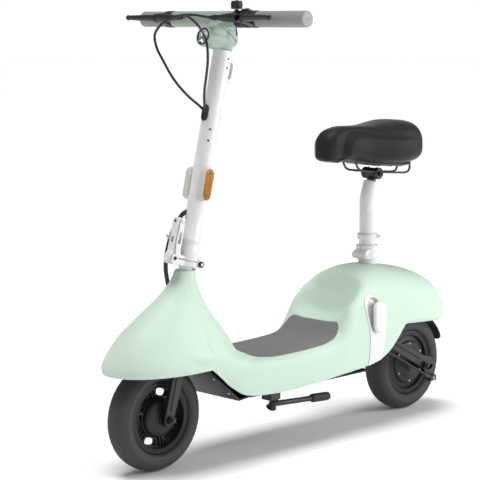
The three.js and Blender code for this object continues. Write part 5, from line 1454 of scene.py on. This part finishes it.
# The bar: black tube with grey rubber grips, a fixed one on the left and the throttle's shorter one on the
# right. The end of each grip is a paler plug. The grips are moulded with fine rings.
bar_half, grip_end = 276.0, 278.0
hang_steered("handlebar_tube", crossbar(*bar_at, 11.1, -bar_half, bar_half, 1.0, 56), "stem", black_coat,
             "handlebar")
grip_rubber = Finish("grip_rubber", "grey_rubber", "8a8b8d", 0.62)
grip_y = grip_rubber.axes()[1]
grip_rings = grip_y.ripple(2100.0)
grip_rubber.relief(grip_rings + grip_rubber.noise(1200.0) * 0.6, 0.00018)
grip_rubber.uneven(0.05, 70.0)
plug_rubber = Finish("plug_rubber", "grey_rubber", "949596", 0.55)
plug_rubber.grained(0.00006, 900.0)


def grip(inner):
    """A grip on the left end of the bar, from its inner end out."""
    turned = [(11.4, inner), (18.2, inner), (19, inner + 0.8), (19, inner + 5), (18.5, inner + 5.8),
              (18.5, inner + 7)]
    turned += [(19, inner + 7.8), (19, grip_end - 3), (18.5, grip_end - 1.4), (17.4, grip_end - 0.9),
               (11.4, grip_end - 0.9)]
    return spun(turned, (bar_at[0], 0, bar_at[1]), ACROSS, 80, True)


grip_plug = spun([(17.2, grip_end - 2.4), (17.2, grip_end - 0.6), (16.6, grip_end), (3.0, grip_end),
                  (2.2, grip_end - 0.7)], (bar_at[0], 0, bar_at[1]), ACROSS, 72)
hang_steered("left_grip_rubber", grip(122.8), "stem", grip_rubber, "left_grip")
hang_steered("left_grip_plug", grip_plug.copy(), "stem", plug_rubber)
hang_steered("throttle_rubber", mirrored(grip(192.8)), "throttle", grip_rubber, "throttle_grip")
hang_steered("throttle_plug", mirrored(grip_plug), "throttle", plug_rubber)

# The brakes: on each side a black cast perch is clamped round the bar and holds a short tapered lever with a
# ball end. The cable leaves through a stepped adjusting barrel.
perch_ahead, perch_height, lever_pivot, pivot_along = 68.0, 1077.0, 62.0, 112.0
clip_radius, clip_bore = 20.3, 11.3
lever_flat_height, lever_flattening = 1076.0, 0.88


def perch(shift):
    """The left perch, moved out along the bar."""
    band = crossbar(*bar_at, clip_radius, 98.5 + shift, 121.8 + shift, 1.2, 60)
    arm = plate(soften(oblong(20, 101, 56, 121), 3), 1068.4, 1085.6, 1.6, "xyz")
    jaws = [plate(soften([(46, 99), (64, 99), (72, 104), (72, 117), (66, 121), (46, 121)], 4), low, low + 4,
                  1.0, "xyz") for low in (1068, 1082)]
    barrel = tube([(perch_ahead, y, perch_height) for y in (40, 58, 78, 101)], [6.4, 8.6, 11.0, 10.6], 1.2,
                  40)
    for mesh in (arm, *jaws, barrel):
        mesh.transform(Matrix.Translation((0, shift, 0)))
    made = cast(1.1, 3, band, arm, *jaws, barrel)
    room = plate(oblong(48, 101.6 + shift, 90, 131 + shift), 1072.3, 1081.7, 0.1, "xyz")
    made = carved(made, room, crossbar(*bar_at, clip_bore, 80 + shift, 140 + shift, 0.1))
    sizes = [(12.2, 4.2), (14.2, 5.0), (20.8, 5.0), (21.6, 3.9), (23.4, 3.9), (24.2, 6.2)]
    sizes += [(26.6, 6.6), (33.4, 6.6), (35.8, 6.2), (36.6, 4.6), (41, 4.6)]
    adjuster = tube([(perch_ahead + 2, y + shift, perch_height) for y, _ in sizes],
                    [size for _, size in sizes], 0, 32)
    pivot = (lever_pivot, pivot_along + shift, perch_height)
    pin = spun([(2, -11), (3.6, -10.6), (3.9, -10), (3.9, 10), (3.6, 10.6), (2, 11)], pivot, UP, 28)
    clamp = set_out(screw(3.0, 2.0), [aimed((-1.6, 110 + shift, 1094), (-0.85, 0, 0.5))], black_coat)
    return fuse(made, adjuster, pin, clamp)


def brake_lever(shift, reach):
    """The left lever: a flat blade that leaves its boss, narrows, and ends in a ball."""
    start, tip = pivot_along + shift, reach + shift
    pivot = (lever_pivot, start, perch_height)
    boss_turn = [(3.9, -4.4), (7.4, -4.4), (8, -3.8), (8, 3.8), (7.4, 4.4), (3.9, 4.4)]
    line = flowing([(63, start, 1077), (64.5, start + 16, 1077), (69, start + 48, 1076.4), (77, tip, 1075)],
                   6.0)
    along = [p.y for p in line]
    sizes = np.interp(along, [start, start + 13, start + 38, tip - 8, tip], [9.0, 9.4, 8.8, 6.8, 5.4])
    blade = tube(line, sizes, 0, 32)
    flat = places_of(blade)
    flat[:, 2] = lever_flat_height + (flat[:, 2] - lever_flat_height) * lever_flattening
    moved(blade, flat)
    ball_turn = [(0.8, -7), (3.6, -6), (5.9, -3.8), (7, 0), (5.9, 3.8), (3.6, 6), (0.8, 7)]
    ball = spun(ball_turn, (77, tip, 1075), ACROSS, 36)
    made = cast(0.8, 2, spun(boss_turn, pivot, UP, 40, True), blade, ball)
    return carved(made, spun([(3.9, -20), (3.9, 20)], pivot, UP, 28))


lever_black = Finish("lever_black", "black_metal", "19191a", 0.36)
lever_black.uneven(0.06, 180.0)
lever_black.grained(0.00003, 1500.0)
hang_steered("left_perch_casting", perch(0.0), "stem", black_coat, "left_lever_perch")
hang_steered("right_perch_casting", mirrored(perch(70.0)), "stem", black_coat, "right_lever_perch")
hang_steered("left_lever_blade", brake_lever(0.0, 212.0), "lever_left", lever_black, "left_brake_lever")
hang_steered("right_lever_blade", mirrored(brake_lever(70.0, 201.0)), "lever_right", lever_black,
             "right_brake_lever")

# Left of the head: a black switch pod with a grey push button, and the bell, a black drum with a milled edge
# that turns on its stud. Both are clipped round the bar.
pod_ring = crossbar(*bar_at, clip_radius, 62.8, 97.5, 1.4, 60)
pod_top = plate(soften(oblong(11, 74.4, 33.6, 97.4), 3), 1086, 1107.2, 1.8, "xyz")
pod_step = plate(soften(oblong(4, 68, 30, 80), 3), 1090, 1105.4, 1.6, "xyz")
pod = cast(1.0, 2, pod_ring, pod_top, pod_step)
button_at = (22, 85, 0)
button_room = spun([(6.4, 1103.2), (6.4, 1120)], button_at, UP, 32)
pod = carved(pod, crossbar(*bar_at, clip_bore, 40, 120, 0.1), button_room)
hang_steered("switch_pod_body", pod, "stem", moulded_black, "switch_pod")
button = spun([(5.9, 1105.2), (5.9, 1109.2), (5.3, 1110.2), (3.6, 1110.5), (2.6, 1110.1)], button_at, UP, 40)
hang_steered("mode_button_cap", button, "button", grip_rubber, "mode_button")
bell_at = Vector((236, 58, 0))
bell_band = crossbar(*bar_at, 20.2, 54.4, 62.2, 0.9, 60)
bell_band = along_steering(carved(bell_band, crossbar(*bar_at, clip_bore, 40, 80, 0.1)))
bell_foot = spun([(8.2, 1066), (6.4, 1074), (5.6, 1078), (5.6, 1082.4)], bell_at, UP, 36)
bell_stud = spun([(1.9, 1080), (1.9, 1103.2), (3.0, 1103.4), (3.0, 1104.4), (2.2, 1105)], bell_at, UP, 24)
hang("bell_bracket", fuse(bell_band, bell_foot, bell_stud), "stem", moulded_black, "bell_base")
bell_turn = [(2.2, 1083.4), (11.5, 1083.4), (12.9, 1084.2), (13.2, 1085.6), (13.2, 1099.4), (12.6, 1101.6),
             (11, 1102.8), (2.2, 1103)]
bell_flute = plate(soften(oblong(12.2, -0.65, 13.9, 0.65), 0.5, 2), 1086.4, 1098.6, 0.5, "xyz")
bell_turns = [Matrix.Translation(bell_at) @ Matrix.Rotation(math.tau * i / 30, 4, "Z") for i in range(30)]
bell_drum = fuse(spun(bell_turn, bell_at, UP, 60, True), set_out(bell_flute, bell_turns, lever_black))
hang("bell_drum", bell_drum, "bell", lever_black, "bell_ring")

# The seat post: a white steel tube, bent back at its top, that slides in the seat tube. A stop ring with an
# eye sits on it, and a cast clamp with a cross bolt pinches it where the seat tube ends.
post_radius = 21.5
clamp_low, clamp_top = 427.3, 466.8
clamp_turn = [(22.2, clamp_low), (26.6, clamp_low), (27.5, 428.4), (27.5, 455.4), (28.4, 457.2),
              (29.4, 458.4)]
clamp_turn += [(29.4, 465.6), (28.6, clamp_top), (22.2, clamp_top)]
clamp_ring = spun(clamp_turn, (seat_tube_x, 0, 0), UP, 88, True)
clamp_bolt_at = (-280.0, 441.0)
clamp_barrel = crossbar(*clamp_bolt_at, 8.5, -22, 25.6, 1.4, 40)
clamp_lug = plate(soften([(-300, 430), (-275, 431), (-273, 448), (-283, 455), (-300, 456)], 5), -20.5, 22.5,
                  2.0)
clamp_body = cast(1.1, 3, clamp_ring, clamp_lug)
clamp_bore = spun([(21.9, 400), (21.9, 480)], (seat_tube_x, 0, 0), UP, 72)
clamp_slit = plate(oblong(-300, 410, -260, 480), 0.2, 2.4, 0.05)
clamp_body = fuse(carved(clamp_body, clamp_bore, clamp_slit), clamp_barrel)
seat_sleeve = spun([(23.9, 400), (23.9, 426.6), (22, 427.2)], (seat_tube_x, 0, 0), UP, 80)
hang("seat_clamp_casting", clamp_body, "frame", white_gloss, "seat_clamp")
hang("seat_tube_sleeve", seat_sleeve, "frame", white_gloss)
clamp_screws = [aimed((clamp_bolt_at[0], y, clamp_bolt_at[1]), (0, side, 0)) for y,
                side in ((25.2, 1), (-21.6, -1))]
hang("seat_clamp_screws", set_out(screw(5.2, 1.8), clamp_screws, bright_steel), "frame", bright_steel)
post_bends = [(-309, 286), (-309, 400), (-309, 520), (-309, 566), (-310, 590), (-314, 606), (-319.5, 620),
              (-324.6, 632)]
post_line = flowing([(x, 0, z) for x, z in post_bends], 8.0)
post_ring = spun([(21, 481.6), (25.8, 481.6), (27, 482.8), (27, 495.2), (25.8, 496.4), (21, 496.4)],
                 (seat_tube_x, 0, 0), UP, 80, True)
eye_way = Vector((-0.5, 0.87, 0)).normalized()
eye_at = Vector((seat_tube_x, 0, 489)) + eye_way * 31
eye = spun([(2.6, -3.6), (5.2, -3.6), (6.2, -2.6), (6.2, 2.6), (5.2, 3.6), (2.6, 3.6)], eye_at, UP, 36, True)
eye_neck = rod(eye_at - eye_way * 8, eye_at - eye_way * 3.4, 4.2, 0.3, 24)
hang("seat_post_tube", fuse(tube(post_line, post_radius, 2.6, 96), post_ring, eye, eye_neck), "post",
     white_gloss, "seat_post")

# The saddle's clamp: a black core on the end of the post, and on each side a toothed disc that grips a rail.
# One bolt goes through all of it. The rails are black wire, bent up at both ends into the base of the saddle.
tilt_at = (-326.0, 656.0)
clamp_stub = tube([(-321, 0, 628), (-324, 0, 642), (-326, 0, 652)], [12.4, 11.2, 10.4], 0.8, 40)
clamp_core = crossbar(*tilt_at, 14.0, -11.8, 11.8, 1.2, 56)
tilt_bolt = crossbar(*tilt_at, 3.9, -31, 31, 0.4, 28)
tilt_nuts = aimed_out(tilt_at[0], 27.4, tilt_at[1])
tilt_nut = nut(12.0, 6.4, 3.9)
hang("saddle_clamp_core", fuse(clamp_stub, clamp_core, tilt_bolt), "post", black_coat, "saddle_clamp")
hang("saddle_clamp_nuts", set_out(tilt_nut, tilt_nuts, black_coat), "saddle", black_coat)
disc_turn = [(4.4, 12.4), (14, 12.4), (15, 13.4), (15, 17.8), (13.6, 18.6), (13.6, 20.4), (15, 21.2),
             (15, 25.8), (14, 27), (4.4, 27)]
disc = spun(disc_turn, (tilt_at[0], 0, tilt_at[1]), ACROSS, 60, True)
tooth = plate(soften([(12.8, -0.9), (15.9, -0.5), (15.9, 0.5), (12.8, 0.9)], 0.4, 2), 13.4, 17.8, 0.5)
teeth = [Matrix.Translation((tilt_at[0], 0, tilt_at[1])) @ Matrix.Rotation(math.tau * i / 18, 4,
                                                                           "Y") for i in range(18)]
disc = fuse(disc, set_out(tooth, teeth, black_coat))
rail_half, rail_radius = 22, 2.9
rail_bends = [(-229, 700), (-236, 688), (-243, 676), (-254, 669), (-274, 665.4), (-326, 660), (-400, 654)]
rail_bends += [(-436, 652), (-450, 656), (-455, 668), (-447, 684)]
rail = fuse(disc, tube(flowing([(x, rail_half, z) for x, z in rail_bends], 4.0), rail_radius, 0.4, 20))
cross_bars = [crossbar(x, z, 2.8, -rail_half, rail_half, 0.3, 20) for x, z in ((-230, 698.5), (-447.6, 683))]
hang("saddle_rail_set", fuse(rail, mirrored(rail), *cross_bars), "saddle", black_coat, "saddle_rails")

# The saddle: a firm moulded foam pad under a dark grey stretched skin, on a black plastic base. The skin is
# drawn in along a soft crease on each side, above the bulging side panel, and the nose is tucked under.
# Rows from the tail forward: place, half width, top, bottom and the share of the height where it is widest.
saddle_rows = """-456 46 766 690 .42, -441 76 785 684 .42, -419 91 794 680 .42, -384 94 796 677 .42,
-337 87 791 679 .42, -291 72 786 683 .42, -244 57 785 690 .4, -198 47 786 699 .36, -156 42 779 695 .3,
-131 32 762 698 .26, -120 18 744 706 .24"""
saddle_power = 2.7
crease_line = [(-400, 756), (-372, 756), (-335, 758), (-299, 761), (-265, 767), (-232, 771), (-208, 772),
               (-193, 767),
               (-179, 757), (-171, 745), (-168, 732), (-168, 716), (-171, 696)]
crease_deep, crease_wide = 9.0, 9.0
rows = table(saddle_rows)
saddle_half, saddle_top, saddle_low, saddle_waist = (through(rows[:, 0], rows[:, i]) for i in (1, 2, 3, 4))


def saddle_rings(along, sides=120):
    """Rings of the pad from its tail forward; its ends close on poles."""
    angles = np.linspace(0, math.tau, sides, endpoint=False)
    up, across = np.sin(angles), np.cos(angles)
    rings = []
    for x in along:
        half, top, low = saddle_half(x), saddle_top(x), saddle_low(x)
        waist = low + (top - low) * saddle_waist(x)
        reach = np.where(up > 0, top - waist, waist - low)
        y = half * np.sign(across) * np.abs(across) ** (2 / saddle_power)
        z = waist + reach * np.sign(up) * np.abs(up) ** (2 / saddle_power)
        rings.append(np.stack([np.full(sides, x), y, z], axis=1))
    return rings


def rounded_ends(rings, depth=3.0, steps=6):
    """Draws the first and last ring in over a short round nose."""
    made = []
    for ring, way in ((rings[0], -1), (rings[-1], 1)):
        middle = ring.mean(axis=0)
        end = []
        for step in range(1, steps + 1):
            turn = math.pi / 2 * step / steps
            share = max(math.cos(turn), 0.02)
            end.append(middle + (ring - middle) * share + (way * depth * math.sin(turn), 0, 0))
        made.append(end)
    return made[0][::-1] + rings + made[1]


pad_rings = rounded_ends(saddle_rings(np.linspace(rows[0, 0], rows[-1, 0], 110)))
pad = lathe_rings([[tuple(p) for p in ring] for ring in pad_rings], False)
pad = relaxed(settled(pad, ("REMESH", {"mode": "VOXEL", "voxel_size": 2.2})), 5)
spots = places_of(pad)
line = np.array(crease_line, float)
nearest = np.full(len(spots), 1e6)
for start, end in zip(line, line[1:]):
    way = end - start
    share = np.clip(((spots[:, [0, 2]] - start) @ way) / (way @ way), 0, 1)
    nearest = np.minimum(nearest, np.hypot(*(spots[:, [0, 2]] - start - share[:, None] * way).T))


def smooth(values, low, high):
    share = np.clip((values - low) / (high - low), 0, 1)
    return share * share * (3 - 2 * share)


side_share = smooth(np.abs(spots[:, 1]), 14, 30)
fade = smooth(spots[:, 0], -412, -330)
crease = crease_deep * np.exp(-((nearest / (crease_wide * (1 + 0.7 * smooth(spots[:, 0], -215, -175)))) ** 2))
crease *= side_share * (0.25 + 0.75 * fade)
tucked = 0.14 * smooth(spots[:, 0], -180, -140) * smooth(-spots[:, 2], -755, -712)
bulge = 4.0 * smooth(spots[:, 0], -262, -205) * (1 - smooth(spots[:, 0], -200, -166))
bulge *= (1 - smooth(spots[:, 2], 740, 765)) * smooth(spots[:, 2], 695, 715)
sign = np.sign(spots[:, 1])
spots[:, 1] = spots[:, 1] * (1 - tucked) + sign * (bulge * side_share - crease)
pad = relaxed(moved(pad, spots), 6)
saddle_skin = Finish("saddle_skin", "saddle_skin", "1e1f20", 0.5, Specular_IOR_Level=0.16, Sheen_Weight=0.3,
                     Sheen_Roughness=0.25)
grain = saddle_skin.place.node("ShaderNodeTexVoronoi", {}, {"Vector": saddle_skin.place, "Scale": 620.0})
saddle_skin.relief(grain + saddle_skin.noise(900.0, 3.0) * 0.5, 0.00022)
saddle_skin.uneven(0.05, 30.0)
saddle_pad_piece = hang("saddle_cushion", pad, "saddle", saddle_skin, "saddle_pad")
# The base follows the underside of the pad, well inside its edge, with ribs across.
base_edge = [(x, half * 0.66) for x, half in zip(rows[2:-2, 0], rows[2:-2, 1])]
in_base = inside(soften(base_edge + [(x, -y) for x, y in base_edge[::-1]], 8, 3))
saddle_plate = trimmed(sheet((-445, -80), (-128, 80), 2.5), lambda p: in_base(p[:, 0], p[:, 1]))
spots = places_of(saddle_plate)
base_depth = smooth(in_base(spots[:, 0], spots[:, 1]), 0, 6)
ribs = 1.4 * smooth(np.abs((spots[:, 0] % 38) - 19), 15.5, 17.5) * base_depth
spots[:, 2] = saddle_low(spots[:, 0]) + 0.6 - 2.6 * base_depth - ribs
saddle_plate = walled(facing(moved(saddle_plate, spots), (0, 0, -1)), 3.0)
hang("saddle_base_shell", saddle_plate, "saddle", moulded_black, "saddle_base")
